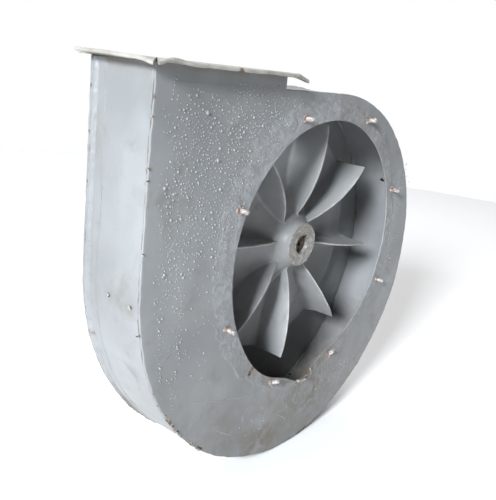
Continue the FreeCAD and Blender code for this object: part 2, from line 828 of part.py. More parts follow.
def keyway(body, front_y, length):
    """Cut a keyway into the +X side of a shaft."""
    sketch = new_sketch(body, "YZ_Plane", key_base)
    half = s.key_width / 2
    draw_box(sketch, (front_y, -half), (front_y + length, half))
    cut(body, sketch, backwards=True)


def wheel_shaft():
    """The stepped shaft with its collar, circlip groove, centre hole and two keyways."""
    collar = s.shaft_collar_diameter / 2
    drive = s.drive_diameter / 2
    groove = journal_radius - s.circlip_groove
    centre_hole = s.centre_hole_diameter / 2
    step_y = drive_front_y
    body = turned_body("wheel_shaft", [
        (centre_hole, s.shaft_front_y), (bore_radius, s.shaft_front_y),
        (bore_radius, s.hub_back_y), (collar, s.hub_back_y), (collar, front_bearing_y),
        (journal_radius, front_bearing_y), (journal_radius, groove_y), (groove, groove_y),
        (groove, groove_y + s.circlip_width), (journal_radius, groove_y + s.circlip_width),
        (journal_radius, step_y), (drive, step_y), (drive, shaft_back_y),
        (ZERO, shaft_back_y), (ZERO, s.shaft_front_y + s.centre_hole_depth),
        (centre_hole, s.shaft_front_y + s.centre_hole_depth)])
    keyway(body, wheel_key_y, s.wheel_key_length)
    keyway(body, drive_key_y, s.drive_key_length)
    turn_to(body, s.key_angle)


def wheel_key():
    """The parallel key between shaft and hub."""
    body = new_body("wheel_key")
    sketch = new_sketch(body, "YZ_Plane", key_base)
    half = s.key_width / 2
    draw_box(sketch, (wheel_key_y, -half), (wheel_key_y + s.wheel_key_length, half))
    pad(body, sketch, s.key_height)
    turn_to(body, s.key_angle)


def cone_curve(grow, radius):
    """Y on the front of the disc's cone at a radius; grow moves it back by that much."""
    across = s.disc_flat_radius - radius
    return cone_centre_y + root((cone_radius + grow) * (cone_radius + grow) - across * across)


cone_rise = s.disc_front_y - s.hub_front_y - s.hub_collar_length
cone_reach = s.disc_flat_radius - hub_radius
cone_radius = (cone_reach * cone_reach + cone_rise * cone_rise) / (cone_rise * 2)
cone_centre_y = s.disc_front_y - cone_radius
cone_centre = (s.disc_flat_radius, cone_centre_y)
seat = s.disc_seat_radius
seat_front_y = cone_curve(ZERO, seat)
seat_back_y = cone_curve(s.disc_thickness, seat)


def wheel_hub():
    """The turned hub: a boss that flares into the cone of the disc, keyed to the shaft."""
    collar_y = s.hub_front_y + s.hub_collar_length
    web_y = seat_back_y + s.hub_web
    body = turned_body("wheel_hub", [
        (bore_radius, s.hub_front_y), (hub_radius, s.hub_front_y), (hub_radius, collar_y),
        ((seat, seat_front_y), cone_centre, cone_radius, -1),
        (seat, seat_back_y), (hub_radius, web_y), (hub_radius, s.hub_back_y),
        (bore_radius, s.hub_back_y)])
    keyway_sketch = new_sketch(body, "XZ_Plane")
    half = s.key_width / 2
    draw_box(keyway_sketch, (ZERO, -half), (key_top + s.key_top_gap, half))
    cut(body, keyway_sketch)
    screw_sketch = new_sketch(body, "YZ_Plane")
    draw_circle(screw_sketch, (s.set_screw_y, ZERO), s.set_screw_diameter / 2)
    cut(body, screw_sketch, backwards=True)
    turn_to(body, s.key_angle)


def hub_set_screw():
    """The grub screw that bears on the key."""
    body = new_body("hub_set_screw")
    sketch = new_sketch(body, "YZ_Plane", key_top)
    draw_circle(sketch, (s.set_screw_y, ZERO), s.set_screw_diameter / 2)
    pad(body, sketch, hub_radius - key_top - s.set_screw_recess)
    turn_to(body, s.key_angle)


def back_disc():
    """The spun disc: a flat rim that curves forward into a cone round the hub."""
    edge = wheel_radius - s.disc_edge_step
    flat = s.disc_flat_radius
    back_y = s.disc_front_y + s.disc_thickness
    turned_body("wheel_back_disc", [
        ((seat, seat_back_y), cone_centre, cone_radius + s.disc_thickness, 1),
        (seat, seat_front_y), ((flat, s.disc_front_y), cone_centre, cone_radius, -1),
        (edge, s.disc_front_y), (edge, back_y), (flat, back_y)])


def blade(number, clock_angle):
    """A radial blade: straight back on the disc, front edge bowed forward."""
    root_radius = s.blade_root_radius
    foot_y = cone_curve(ZERO, root_radius)
    root_y = foot_y - s.blade_root_lift
    run = wheel_radius - root_radius
    rise = root_y - s.tip_front_y
    chord = root(run * run + rise * rise)
    sagitta = s.blade_bulge
    radius = (chord * chord / 4 + sagitta * sagitta) / (sagitta * 2)
    offset = (radius - sagitta) / chord
    centre_x = (wheel_radius + root_radius) / 2 + offset * rise
    centre_y = (root_y + s.tip_front_y) / 2 + offset * run
    body = new_body("blade_%d" % number)
    sketch = new_sketch(body, "XY_Plane")
    draw_outline(sketch, [
        ((root_radius, foot_y), cone_centre, cone_radius, 1), (root_radius, root_y),
        ((wheel_radius, s.tip_front_y), (centre_x, centre_y), radius, 1),
        (wheel_radius, s.disc_front_y), (s.disc_flat_radius, s.disc_front_y)])
    pad(body, sketch, s.blade_thickness, both_ways=True)
    turn_to(body, clock_angle)


wheel_shaft()
wheel_key()
wheel_hub()
hub_set_screw()
back_disc()
for number, angle in enumerate(clock_angles(s.blade_count, s.blade_first_angle), start=1):
    blade(number, angle)
spacer_outer = journal_radius + s.shoulder_height
turned_body("bearing_spacer", sleeve(journal_radius, spacer_outer,
                                     front_shoulder_y, rear_bearing_y))
turned_body("shaft_circlip", sleeve(journal_radius - s.circlip_groove,
                                    journal_radius + s.circlip_height,
                                    groove_y, groove_y + s.circlip_width))


# ---------------------------------------------------------------------------
# Checks and export
# ---------------------------------------------------------------------------

document.recompute()
for item in document.Objects:
    if "Invalid" in item.State or "Error" in item.State:
        raise RuntimeError(item.Label + " failed to build")
for item in parts:
    if item.Shape.isNull() or not item.Shape.isValid():
        raise RuntimeError(item.Label + " has no valid shape")

os.makedirs("parts", exist_ok=True)
for item in parts:
    item.Shape.exportStep("parts/%s.step" % item.Label)
print("%d sub-parts written" % len(parts))
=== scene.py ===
# %% [markdown]
# # A scroll-case blower
#
# This lesson dresses the engineering model of a centrifugal blower: a welded sheet casing shaped
# like a snail shell, with a round inlet in front, a flanged outlet on top and an open paddle wheel
# inside. The model gives every size. Here each surface that shows gets its real shape and finish:
# sheet that is a little wavy, weld beads, worn edges, rust where water sits.
#
# X points right, Y points into the casing along the shaft, Z points up, all in metres.

import json
import math
import bmesh
import bpy
import numpy as np
from mathutils import Matrix, Vector


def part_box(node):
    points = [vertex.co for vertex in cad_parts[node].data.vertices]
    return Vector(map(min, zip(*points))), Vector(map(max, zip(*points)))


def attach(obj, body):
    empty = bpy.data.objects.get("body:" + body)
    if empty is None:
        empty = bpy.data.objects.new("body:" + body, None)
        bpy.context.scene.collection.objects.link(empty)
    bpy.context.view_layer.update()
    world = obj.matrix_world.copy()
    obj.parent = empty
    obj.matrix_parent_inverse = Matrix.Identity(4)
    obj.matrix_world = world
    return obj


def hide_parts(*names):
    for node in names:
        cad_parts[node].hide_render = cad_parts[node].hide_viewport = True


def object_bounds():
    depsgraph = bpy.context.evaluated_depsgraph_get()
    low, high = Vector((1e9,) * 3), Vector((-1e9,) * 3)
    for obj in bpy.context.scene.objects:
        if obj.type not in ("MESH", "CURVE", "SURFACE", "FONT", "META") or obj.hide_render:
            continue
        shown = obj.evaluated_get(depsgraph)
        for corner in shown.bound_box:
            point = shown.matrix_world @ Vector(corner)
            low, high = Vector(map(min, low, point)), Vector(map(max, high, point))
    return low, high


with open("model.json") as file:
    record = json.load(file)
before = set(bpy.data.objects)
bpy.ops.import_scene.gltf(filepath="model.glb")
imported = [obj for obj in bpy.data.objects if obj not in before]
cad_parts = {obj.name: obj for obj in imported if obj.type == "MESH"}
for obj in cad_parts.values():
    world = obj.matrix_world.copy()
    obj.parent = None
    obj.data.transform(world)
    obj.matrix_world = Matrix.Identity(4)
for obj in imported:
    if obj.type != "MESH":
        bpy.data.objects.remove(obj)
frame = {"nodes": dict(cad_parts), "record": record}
cad_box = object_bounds()
mm = 0.001
print("CAD box", cad_box)

# %% [markdown]
# ## Places taken from the model
#
# The plates, the wrapper and the flange tell where everything is, so those places are read from
# their boxes. What a box can't tell, such as the three radii of the scroll, is named here.

# %% Main places
front_low, front_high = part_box("front_plate")
back_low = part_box("back_plate")[0]
left_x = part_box("scroll_wrapper")[0].x
cutoff_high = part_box("cutoff_plate")[1]
lip_low, lip_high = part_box("outlet_flange_left")
front_lip_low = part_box("outlet_flange_front")[0]
back_lip_low, back_lip_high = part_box("outlet_flange_back")
right_lip_low, right_lip_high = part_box("outlet_flange_right")
hub_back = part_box("wheel_hub")[1].y

plate = front_high.y - front_low.y
right_x = cutoff_high.x
duct_top = cutoff_high.z
lip_top = lip_high.z
inlet_radius = 262.5 * mm
wheel_radius = 250 * mm

lower_radius = 438 * mm
side_radius = 402 * mm
upper_radius = 358 * mm
scroll_start = 4 * mm
side_angle = 18.5
sheet = 3 * mm

turn = math.radians(side_angle)
lower_centre = np.array([left_x + lower_radius, scroll_start])
side_centre = lower_centre + [0, side_radius - lower_radius]
upper_shift = (side_radius - upper_radius) * np.array([math.cos(turn), -math.sin(turn)])
upper_centre = side_centre + upper_shift
scroll_top = upper_centre[1] + upper_radius
print("scroll top", round(scroll_top, 4))

# %% [markdown]
# ## Shapes from grids of points
#
# Nearly every piece below is a grid of points: rows run along the piece and columns run round its
# section. numpy works out all the points at once, and one helper joins neighbours with four-sided
# faces. A point may carry more than its place: three more numbers say how rusty it is, how much
# residue or wear it has and how much dirt and painted shade it has, and the finishes read those as
# attributes.

# %% Grid helpers
CHANNELS = ("rust", "wear", "dirt_and_shade")


def with_channels(points):
    """Give every point the numbers of the channels that it doesn't have yet, as zeros."""
    missing = 3 + len(CHANNELS) - points.shape[-1]
    if missing <= 0:
        return points
    return np.concatenate([points, np.zeros(points.shape[:-1] + (missing,))], -1)


def shell(points, loop_rows=False):
    """Corners and faces of a grid: point (i, j) joins (i, j+1), (i+1, j+1) and (i+1, j).

    Every row closes on itself. Rows that don't close on the first one get a fan at each end.
    """
    points = with_channels(points)
    rows, columns = points.shape[:2]
    i, j = np.meshgrid(np.arange(rows if loop_rows else rows - 1), np.arange(columns), indexing="ij")
    i_next = (i + 1) % rows
    j_next = (j + 1) % columns
    quads = np.stack([i * columns + j, i * columns + j_next,
                      i_next * columns + j_next, i_next * columns + j], -1).reshape(-1, 4)
    corners = points.reshape(-1, points.shape[-1])
    faces = quads.tolist()
    if not loop_rows:
        ends = points[[0, -1]].mean(1)
        around = np.arange(columns)
        beyond = (around + 1) % columns
        last = (rows - 1) * columns
        first_centre = np.full(columns, len(corners))
        faces += np.stack([beyond, around, first_centre], -1).tolist()
        faces += np.stack([last + around, last + beyond, first_centre + 1], -1).tolist()
        corners = np.concatenate([corners, ends])
    return corners, faces


def joined(shells):
    """Put several shells into one list of corners and faces."""
    corners = []
    faces = []
    count = 0
    for some_corners, some_faces in shells:
        corners.append(some_corners)
        faces += [[index + count for index in face] for face in some_faces]
        count += len(some_corners)
    return np.concatenate(corners), faces


def full_turn(count):
    """Angles evenly spaced all the way round."""
    return np.linspace(0, 2 * math.pi, count, endpoint=False)


def there_and_back(out, back=None):
    """Columns that go across a piece and come back: out, then back (or out) in reverse."""
    return np.concatenate([out, (out if back is None else back)[:, ::-1]], 1)


def run_length(line):
    """Distance run along a line of points, as a column that starts at 0."""
    return np.cumsum(np.r_[0, np.linalg.norm(np.diff(line, axis=0), axis=1)])[:, None]


# %% Objects
def new_object(name, data):
    """Put an object with this data into the scene."""
    thing = bpy.data.objects.new(name, data)
    bpy.context.scene.collection.objects.link(thing)
    return thing


def outward_mesh(name, corners, faces):
    """A mesh with all its normals outward."""
    mesh = bpy.data.meshes.new(name)
    mesh.from_pydata(corners[:, :3].tolist(), [], faces)
    work = bmesh.new()
    work.from_mesh(mesh)
    bmesh.ops.recalc_face_normals(work, faces=work.faces)
    work.to_mesh(mesh)
    work.free()
    return mesh


def fastened(mesh, numbers, finish, body, stands_for, sharp):
    """Give a mesh its channels and finish, and fasten an object of it to its body."""
    for name, column in zip(CHANNELS, numbers.T):
        layer = mesh.attributes.new(name, "FLOAT", "POINT")
        layer.data.foreach_set("value", column.astype(np.float32))
    mesh.shade_smooth()
    mesh.set_sharp_from_angle(angle=math.radians(sharp))
    mesh.materials.append(finish)
    thing = new_object(mesh.name, mesh)
    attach(thing, body)
    if stands_for:
        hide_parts(*stands_for)
    return thing


def piece(name, shells, finish, body, stands_for=(), sharp=35):
    """Make one finished object from shells."""
    corners, faces = joined(shells)
    print(name, len(faces), "faces")
    return fastened(outward_mesh(name, corners, faces), corners[:, 3:], finish, body, stands_for,
                    sharp)


# %% [markdown]
# ## Smooth chance
#
# Real sheet and real welds are uneven, but never jumpy. Adding a dozen plane waves with seeded
# directions gives a field that wanders smoothly between about -1 and 1, and looks the same each run.

# %% Wandering field
def wander(x, y, size, seed, waves=12):
    """A smooth random field: the mean of plane waves of about the given size, times root two."""
    chance = np.random.default_rng(seed)
    direction = chance.uniform(0, 2 * math.pi, waves)
    length = size * chance.uniform(0.6, 1.6, waves)
    phase = chance.uniform(0, 2 * math.pi, waves)
    total = 0.0
    for d, l, p in zip(direction, length, phase):
        total = total + np.sin(2 * math.pi * (x * math.cos(d) + y * math.sin(d)) / l + p)
    return total * math.sqrt(2 / waves) * 0.7


def smooth_step(value, low, high):
    """0 below low, 1 above high, and 3t^2 - 2t^3 between."""
    t = np.clip((value - low) / (high - low), 0, 1)
    return t * t * (3 - 2 * t)


def hump(value, centre, width):
    """A bell curve of height 1."""
    return np.exp(-0.5 * ((value - centre) / width) ** 2)


# %% [markdown]
# ## Finishes
#
# All paint and metal here is made of nodes that read Object coordinates, so a pattern keeps its
# real size on every piece. Short helpers add a node and wire it, and each finish is one function.

# %% Node helpers
def plug(tree, socket, value):
    """Give a socket a value, or a link if the value is another node's output."""
    if isinstance(value, bpy.types.NodeSocket):
        tree.links.new(value, socket)
    else:
        socket.default_value = value


def add_node(tree, kind, settings=None, **sockets):
    """Add a node and fill its sockets, which are named or, as _0, _1 and so on, counted."""
    item = tree.nodes.new(kind)
    for key, value in (settings or {}).items():
        setattr(item, key, value)
    for key, value in sockets.items():
        plug(tree, item.inputs[int(key[1:])] if key[0] == "_" else item.inputs[key], value)
    return item


def noise(tree, scale, detail=4.0, rough=0.55, stretch=(1, 1, 1), distortion=0.0):
    """Noise on Object coordinates, with the pattern squeezed by stretch."""
    place = add_node(tree, "ShaderNodeTexCoord").outputs["Object"]
    mapped = add_node(tree, "ShaderNodeMapping", _0=place, _3=stretch).outputs[0]
    return add_node(tree, "ShaderNodeTexNoise", Vector=mapped, Scale=scale, Detail=detail,
                    Roughness=rough, Distortion=distortion).outputs[0]


def fade(tree, value, low, high, start=0.0, stop=1.0):
    """Run a value from start at low to stop at high, smoothly."""
    return add_node(tree, "ShaderNodeMapRange", {"interpolation_type": "SMOOTHSTEP"}, _0=value,
                    _1=low, _2=high, _3=start, _4=stop).outputs[0]


def maths(tree, operation, first, second, limit=True):
    """One sum on two values, kept between 0 and 1."""
    return add_node(tree, "ShaderNodeMath", {"operation": operation, "use_clamp": limit},
                    _0=first, _1=second).outputs[0]


def times(tree, first, second):
    """Two values multiplied."""
    return maths(tree, "MULTIPLY", first, second)


def blend_colour(tree, factor, first, second):
    """Mix two colours by a factor."""
    first, second = ((*colour, 1) if isinstance(colour, tuple) else colour for colour in (first, second))
    return add_node(tree, "ShaderNodeMix", {"data_type": "RGBA"}, _0=factor, _6=first,
                    _7=second).outputs[2]


def channel(tree, name):
    """One of the numbers that the points carry."""
    return add_node(tree, "ShaderNodeAttribute", {"attribute_name": name}).outputs["Fac"]


def new_finish(name, metallic=0.0, specular=0.5):
    """An empty material with its shader's own constants set, and its node tree."""
    material = bpy.data.materials.new(name)
    material.use_nodes = True
    shader = material.node_tree.nodes["Principled BSDF"]
    shader.inputs["Metallic"].default_value = metallic
    shader.inputs["Specular IOR Level"].default_value = specular
    return material, material.node_tree


def surface(tree, colour, roughness, *layers):
    """Set colour and roughness, and stack bumps: each layer is (height, strength, distance)."""
    shader = tree.nodes["Principled BSDF"]
    plug(tree, shader.inputs["Base Color"], colour)
    plug(tree, shader.inputs["Roughness"], roughness)
    target = shader.inputs["Normal"]
    for height, strength, distance in reversed(layers):
        item = add_node(tree, "ShaderNodeBump", Height=height, Strength=strength, Distance=distance)
        tree.links.new(item.outputs[0], target)
        target = item.inputs["Normal"]


# %% [markdown]
# ## Old grey paint
#
# The casing is sprayed grey over steel. The coat is duller in streaks where water ran, dirty in
# patches, peppered with pinholes, and lets rust through where a point carries rust. Residue, the
# second number, is the pale blue scale that a pulled-off gasket leaves.

# %% Paint
RUST_DARK = (0.055, 0.034, 0.022)
RUST_LIGHT = (0.23, 0.135, 0.08)
# Brown for dirt, also used as painted shade where the third number carries it.
DIRT_AND_SHADE_BROWN = (0.14, 0.115, 0.085)
PINHOLE = (0.05, 0.045, 0.04)
BARE_SCALE = (0.225, 0.222, 0.22)


def old_paint(name, light, dark, dirt, residue=(0.30, 0.32, 0.36), gloss=0.42):
    """Grey paint with streaks, dirt, pinholes, rust and residue."""
    material, tree = new_finish(name, specular=0.45)
    patches = fade(tree, noise(tree, 6, 3), 0.3, 0.7)
    streaks = fade(tree, noise(tree, 9, 5, stretch=(3, 3, 0.25)), 0.35, 0.75)
    grime = fade(tree, noise(tree, 13, 7, 0.62, distortion=0.4), 0.52, 0.74, 0, 0.55)
    specks = fade(tree, noise(tree, 330, 2, 0.5), 0.70, 0.76)
    crumbs = noise(tree, 55, 8, 0.72, distortion=0.6)
    cover = times(tree, channel(tree, "wear"), fade(tree, crumbs, 0.25, 0.55))
    scaled = blend_colour(tree, fade(tree, crumbs, 0.35, 0.62), BARE_SCALE, residue)
    # The third number tints the paint brown: real dirt, and painted shade under the flange and its lips
    # and in the hub's bore.
    dirt_and_shade_mask = times(tree, channel(tree, "dirt_and_shade"),
                    fade(tree, noise(tree, 28, 8, 0.7, distortion=0.8), 0.3, 0.6))
    edge = maths(tree, "SUBTRACT", maths(tree, "ADD", channel(tree, "rust"), crumbs, False), 0.5)
    rusted = times(tree, fade(tree, edge, 0.28, 0.46), fade(tree, channel(tree, "rust"), 0.02, 0.2))
    rust = blend_colour(tree, fade(tree, noise(tree, 90, 6, 0.7), 0.35, 0.65), RUST_DARK, RUST_LIGHT)
    colour = blend_colour(tree, patches, dark, light)
    for factor, over in ((times(tree, streaks, 0.35), dark), (grime, dirt),
                         (times(tree, specks, 0.5), PINHOLE), (times(tree, cover, 0.75), scaled),
                         (dirt_and_shade_mask, DIRT_AND_SHADE_BROWN), (rusted, rust)):
        colour = blend_colour(tree, factor, colour, over)
    bare = maths(tree, "MAXIMUM", rusted, cover)
    dull = maths(tree, "ADD", times(tree, grime, 0.35), times(tree, noise(tree, 140, 3, 0.7), 0.16))
    dull = maths(tree, "MAXIMUM", maths(tree, "ADD", dull, gloss - 0.08), times(tree, bare, 0.8))
    surface(tree, colour, dull, (noise(tree, 420, 2), 0.10, 0.0004),
            (noise(tree, 60, 5), 0.14, 0.0009), (times(tree, crumbs, bare), 0.8, 0.0016))
    return material


casing_paint = old_paint("casing_grey_paint", (0.265, 0.27, 0.276), (0.20, 0.205, 0.21),
                         (0.165, 0.158, 0.146), residue=(0.33, 0.34, 0.36))
# Lighter than the casing paint: a painted highlight on the blisters and the scratches.
painted_highlight_paint = old_paint("grey_paint_with_painted_highlight", (0.30, 0.306, 0.312), (0.24, 0.245, 0.25),
                          (0.20, 0.19, 0.18), gloss=0.34)
lip_paint = old_paint("chalky_lip_paint", (0.42, 0.41, 0.375), (0.29, 0.28, 0.255),
                      (0.19, 0.175, 0.15), gloss=0.6)
# The wheel has the casing's grey paint; this copy is lighter: painted light for the light that falls in
# through the inlet.
wheel_paint = old_paint("lightened_wheel_paint_painted_light", (0.37, 0.375, 0.38), (0.27, 0.275, 0.278),
                        (0.16, 0.15, 0.14), residue=(0.50, 0.49, 0.45), gloss=0.42)
housing_paint = old_paint("housing_grey_paint", (0.13, 0.145, 0.165), (0.085, 0.095, 0.11),
                          (0.055, 0.05, 0.045), gloss=0.36)

# %% [markdown]
# ## Bare metals, rubber and weld
#
# Bare steel is a metallic shader with turning marks or tarnish. The studs are rusty pink under pale
# scale, and weld bead is duller and darker than the sheet round it.

# %% Metals
def bare_metal(name, light, dark, rough, tarnish, tarnish_share=0.3, marks=(1, 60, 1)):
    """Metal with fine marks across it and patches of tarnish."""
    material, tree = new_finish(name, metallic=0.9)
    lines = noise(tree, 60, 4, 0.6, stretch=marks)
    patches = fade(tree, noise(tree, 45, 6, 0.65), 0.62 - tarnish_share * 0.4,
                   0.8 - tarnish_share * 0.3)
    colour = blend_colour(tree, patches, blend_colour(tree, lines, dark, light), tarnish)
    worn = maths(tree, "ADD", times(tree, lines, 0.2), rough - 0.1)
    worn = maths(tree, "ADD", worn, times(tree, patches, 0.3))
    surface(tree, colour, worn, (lines, 0.15, 0.0003), (patches, 0.2, 0.0005))
    return material


def rubber(name):
    """Matt black nitrile with a dusty bloom."""
    material, tree = new_finish(name, specular=0.35)
    bloom = fade(tree, noise(tree, 40, 5), 0.4, 0.75)
    colour = blend_colour(tree, bloom, (0.016, 0.016, 0.017), (0.045, 0.043, 0.041))
    surface(tree, colour, fade(tree, bloom, 0, 1, 0.55, 0.8), (noise(tree, 500, 2), 0.2, 0.0002))
    return material


def near_black_painted_shade(name):
    """Near-black, dull and crumbly: painted shade for the dark inside holes."""
    material, tree = new_finish(name, specular=0.1)
    crumbs = noise(tree, 400, 5, 0.7)
    colour = blend_colour(tree, fade(tree, crumbs, 0.4, 0.7), (0.005, 0.005, 0.004),
                          (0.02, 0.017, 0.012))
    surface(tree, colour, 0.95, (crumbs, 0.4, 0.0005))
    return material


def rusty_stud(name):
    """Pink-brown rust with pale scale on the crests, nearly dull."""
    material, tree = new_finish(name, metallic=0.15, specular=0.4)
    patches = fade(tree, noise(tree, 160, 6, 0.7), 0.38, 0.62)
    colour = blend_colour(tree, patches, (0.25, 0.19, 0.16), (0.52, 0.50, 0.49))
    pits = fade(tree, noise(tree, 300, 4), 0.6, 0.72)
    colour = blend_colour(tree, pits, colour, (0.11, 0.05, 0.03))
    colour = blend_colour(tree, fade(tree, channel(tree, "rust"), 0.2, 0.9), colour, (0.17, 0.10, 0.07))
    surface(tree, colour, fade(tree, patches, 0, 1, 0.75, 0.5), (patches, 0.5, 0.0006))
    return material


shaft_steel = bare_metal("shaft_steel", (0.20, 0.175, 0.155), (0.12, 0.10, 0.085), 0.55,
                         (0.06, 0.04, 0.028), tarnish_share=0.7)
zinc_steel = bare_metal("zinc_steel", (0.56, 0.57, 0.58), (0.42, 0.43, 0.44), 0.38,
                        (0.30, 0.28, 0.25), marks=(1, 1, 1))
bearing_steel = bare_metal("bearing_steel", (0.72, 0.72, 0.73), (0.60, 0.60, 0.61), 0.2,
                           (0.5, 0.48, 0.45), tarnish_share=0.1)
nipple_brass = bare_metal("nipple_brass", (0.78, 0.60, 0.30), (0.62, 0.46, 0.21), 0.32,
                          (0.25, 0.18, 0.09))
seal_rubber = rubber("seal_rubber")
stud_rust = rusty_stud("rusty_stud")
# A near-black finish: painted shade inside the wrapper's holes.
black_shade_finish = near_black_painted_shade("near_black_painted_shade")

FINISH_OF_SLOT = {
    "casing_paint": casing_paint, "wheel_paint": wheel_paint, "housing_paint": housing_paint,
    "stud_steel": stud_rust, "fastener_steel": zinc_steel, "shaft_steel": shaft_steel,
    "bearing_steel": bearing_steel, "brass_parts": nipple_brass, "seal_rubber": seal_rubber,
}

# %% [markdown]
# ## Finishes for the model's own pieces
#
# A piece whose modelled shape is already right keeps it, and only takes the finish of its slot.

# %% Dress the CAD nodes
slot_of_node = {entry["node"]: entry["material_slot"] for entry in frame["record"]["subparts"]}
for node_name, node_object in frame["nodes"].items():
    node_object.data.materials.clear()
    node_object.data.materials.append(FINISH_OF_SLOT[slot_of_node[node_name]])
print(len(slot_of_node), "nodes dressed")


def on_casing(name, shells, stands_for=(), finish=casing_paint, sharp=35):
    """A painted piece of the casing."""
    return piece(name, shells, finish, "casing", stands_for, sharp)


def on_wheel(name, shells, stands_for):
    """A painted piece of the wheel, in place of a modelled one."""
    piece(name, shells, wheel_paint, "wheel", [stands_for])



# %% [markdown]
# ## The casing's outline
#
# A scroll is drawn with a straight wall and three arcs, each arc starting where the last one ends,
# on a shared normal. A point of an arc is centre + radius times (cosine, sine). The outline comes
# back with its outward normals, so that plates, wrapper and weld beads can all follow it.

# %% Outline
def straight(start, stop, step):
    """Evenly spaced points from start up to but not including stop."""
    count = max(2, math.ceil(math.dist(start, stop) / step))
    share = np.linspace(0, 1, count, endpoint=False)[:, None]
    return np.array(start) + (np.array(stop) - np.array(start)) * share


def arc(centre, radius, first, last, step):
    """Points of an arc from one angle up to but not including another, in degrees."""
    count = max(2, math.ceil(abs(math.radians(last - first)) * radius / step))
    angle = np.radians(np.linspace(first, last, count, endpoint=False))
    return centre + radius * np.stack([np.cos(angle), np.sin(angle)], -1)


def outline(grow, wall_top, top_end, step=5 * mm):
    """The scroll's outline moved out by grow, from the left wall's top round to the top line's end."""
    arcs = [(lower_centre, lower_radius + grow, -180, -90),
            (side_centre, side_radius + grow, -90, -side_angle),
            (upper_centre, upper_radius + grow, -side_angle, 90)]
    left = left_x - grow
    runs = [straight((left, wall_top), (left, scroll_start), step)]
    runs += [arc(*one, step) for one in arcs]
    top = scroll_top + grow
    knee = max(right_x, top_end)
    runs.append(straight((upper_centre[0], top), (knee, top), step))
    if top_end < right_x:
        runs.append(straight((knee, top), (top_end, top), step))
    runs.append(np.array([(top_end, top)]))
    points = np.concatenate(runs)
    ahead = np.gradient(points, axis=0)
    normals = np.stack([ahead[:, 1], -ahead[:, 0]], -1)
    normals /= np.linalg.norm(normals, axis=1, keepdims=True)
    return points, normals


path, path_normals = outline(0, duct_top, right_x)
print("outline points", len(path), "first normal", path_normals[0].round(2))

# %% [markdown]
# ## The side plates
#
# Each side is flame-cut from 4 mm plate. A grid runs from the opening's edge to the outer edge all
# the way round, over the front, round the outer edge, back, and round the opening's edge, so it is
# one closed skin with softened edges. The short neck above the scroll is a second closed grid. The
# front plate has had a knock at the bottom of the opening: its rim is torn down and pushed in there.

# %% Relief of the front plate
def clock(x, z):
    """Clock angle in degrees, clockwise from the top, seen from the front."""
    return np.degrees(np.arctan2(x, z)) % 360


def torn_rim(angle):
    """How far the rim of the inlet is pushed outwards at a clock angle."""
    knock = 22 * hump(angle, 181, 6.5) + 13 * hump(angle, 205, 16) + 7 * hump(angle, 166, 12)
    return (knock + 0.5 * np.sin(np.radians(angle * 9))) * mm


def residue_cover(x, z):
    """Where the gasket's scale still sticks: a ragged ring just outside the inlet."""
    radius = np.hypot(x, z)
    angle = clock(x, z)
    width = 36 + 22 * hump(angle, 310, 30) + 6 * hump(angle, 255, 25) - 12 * hump(angle, 100, 50)
    ragged = 6 * wander(x, z, 0.05, 11) + 3 * wander(x, z, 0.014, 12)
    outer = inlet_radius + (width + ragged) * mm
    return 1 - smooth_step(radius, outer - 4 * mm, outer + 1 * mm)


def sheet_wave(x, z):
    """The slow waviness of welded sheet, less near the straight duct."""
    return 0.7 * mm * wander(x, z, 0.30, 3) + 0.25 * mm * wander(x, z, 0.11, 4)


def front_relief(x, z):
    """How far the front plate's face stands forward of flat; the knock pushes it in."""
    radius = np.hypot(x, z)
    angle = clock(x, z)
    near = hump(radius, inlet_radius + 6 * mm, 26 * mm)
    pushed = -7 * hump(angle, 163, 9) * near + 5.5 * hump(angle, 179, 4.5) * near
    pushed = pushed + 2.5 * hump(angle, 200, 7) * near - 2 * hump(angle, 222, 10) * near
    return sheet_wave(x, z) + pushed * mm


def front_rust(x, z):
    """Rust of the front plate: its lower edge and two places on the torn rim."""
    radius = np.hypot(x, z)
    angle = clock(x, z)
    rim = hump(radius, inlet_radius + 18 * mm, 16 * mm)
    spots = 0.30 * hump(angle, 176, 4) * rim + 0.45 * hump(angle, 219, 1.3) * rim
    spots = spots + 0.22 * smooth_step(z, duct_top - 8 * mm, duct_top)
    low_left = hump(x, -365 * mm, 40 * mm) * hump(z, -262 * mm, 45 * mm)
    low = hump(x, 10 * mm, 55 * mm) * hump(z, -432 * mm, 16 * mm)
    return spots + 0.22 * low_left + 0.30 * low


def front_dirt_and_shade(x, z):
    """Streaks under the torn rim, a smudge, darker low down, and dirt with painted shadow at the top."""
    radius = np.hypot(x, z)
    angle = clock(x, z)
    under = hump(angle, 174, 9) * hump(radius, 325 * mm, 30 * mm)
    streaks = 0.6 + 0.6 * np.sin(x / (1.7 * mm) + 2 * wander(x, z, 0.03, 36))
    smudge = hump(x, -116 * mm, 40 * mm) * hump(z, -395 * mm, 25 * mm)
    ring = residue_cover(x, z) * (0.45 * hump(angle, 10, 40) + 0.35 * hump(angle, 175, 35))
    # Darker towards the bottom.
    low = 0.45 * smooth_step(-z, 120 * mm, 400 * mm)
    # A dark line just under the flange: dirt with painted shadow.
    return 1.1 * under * streaks + 0.5 * smudge + ring + low + 0.5 * smooth_step(
        z, duct_top - 12 * mm, duct_top)


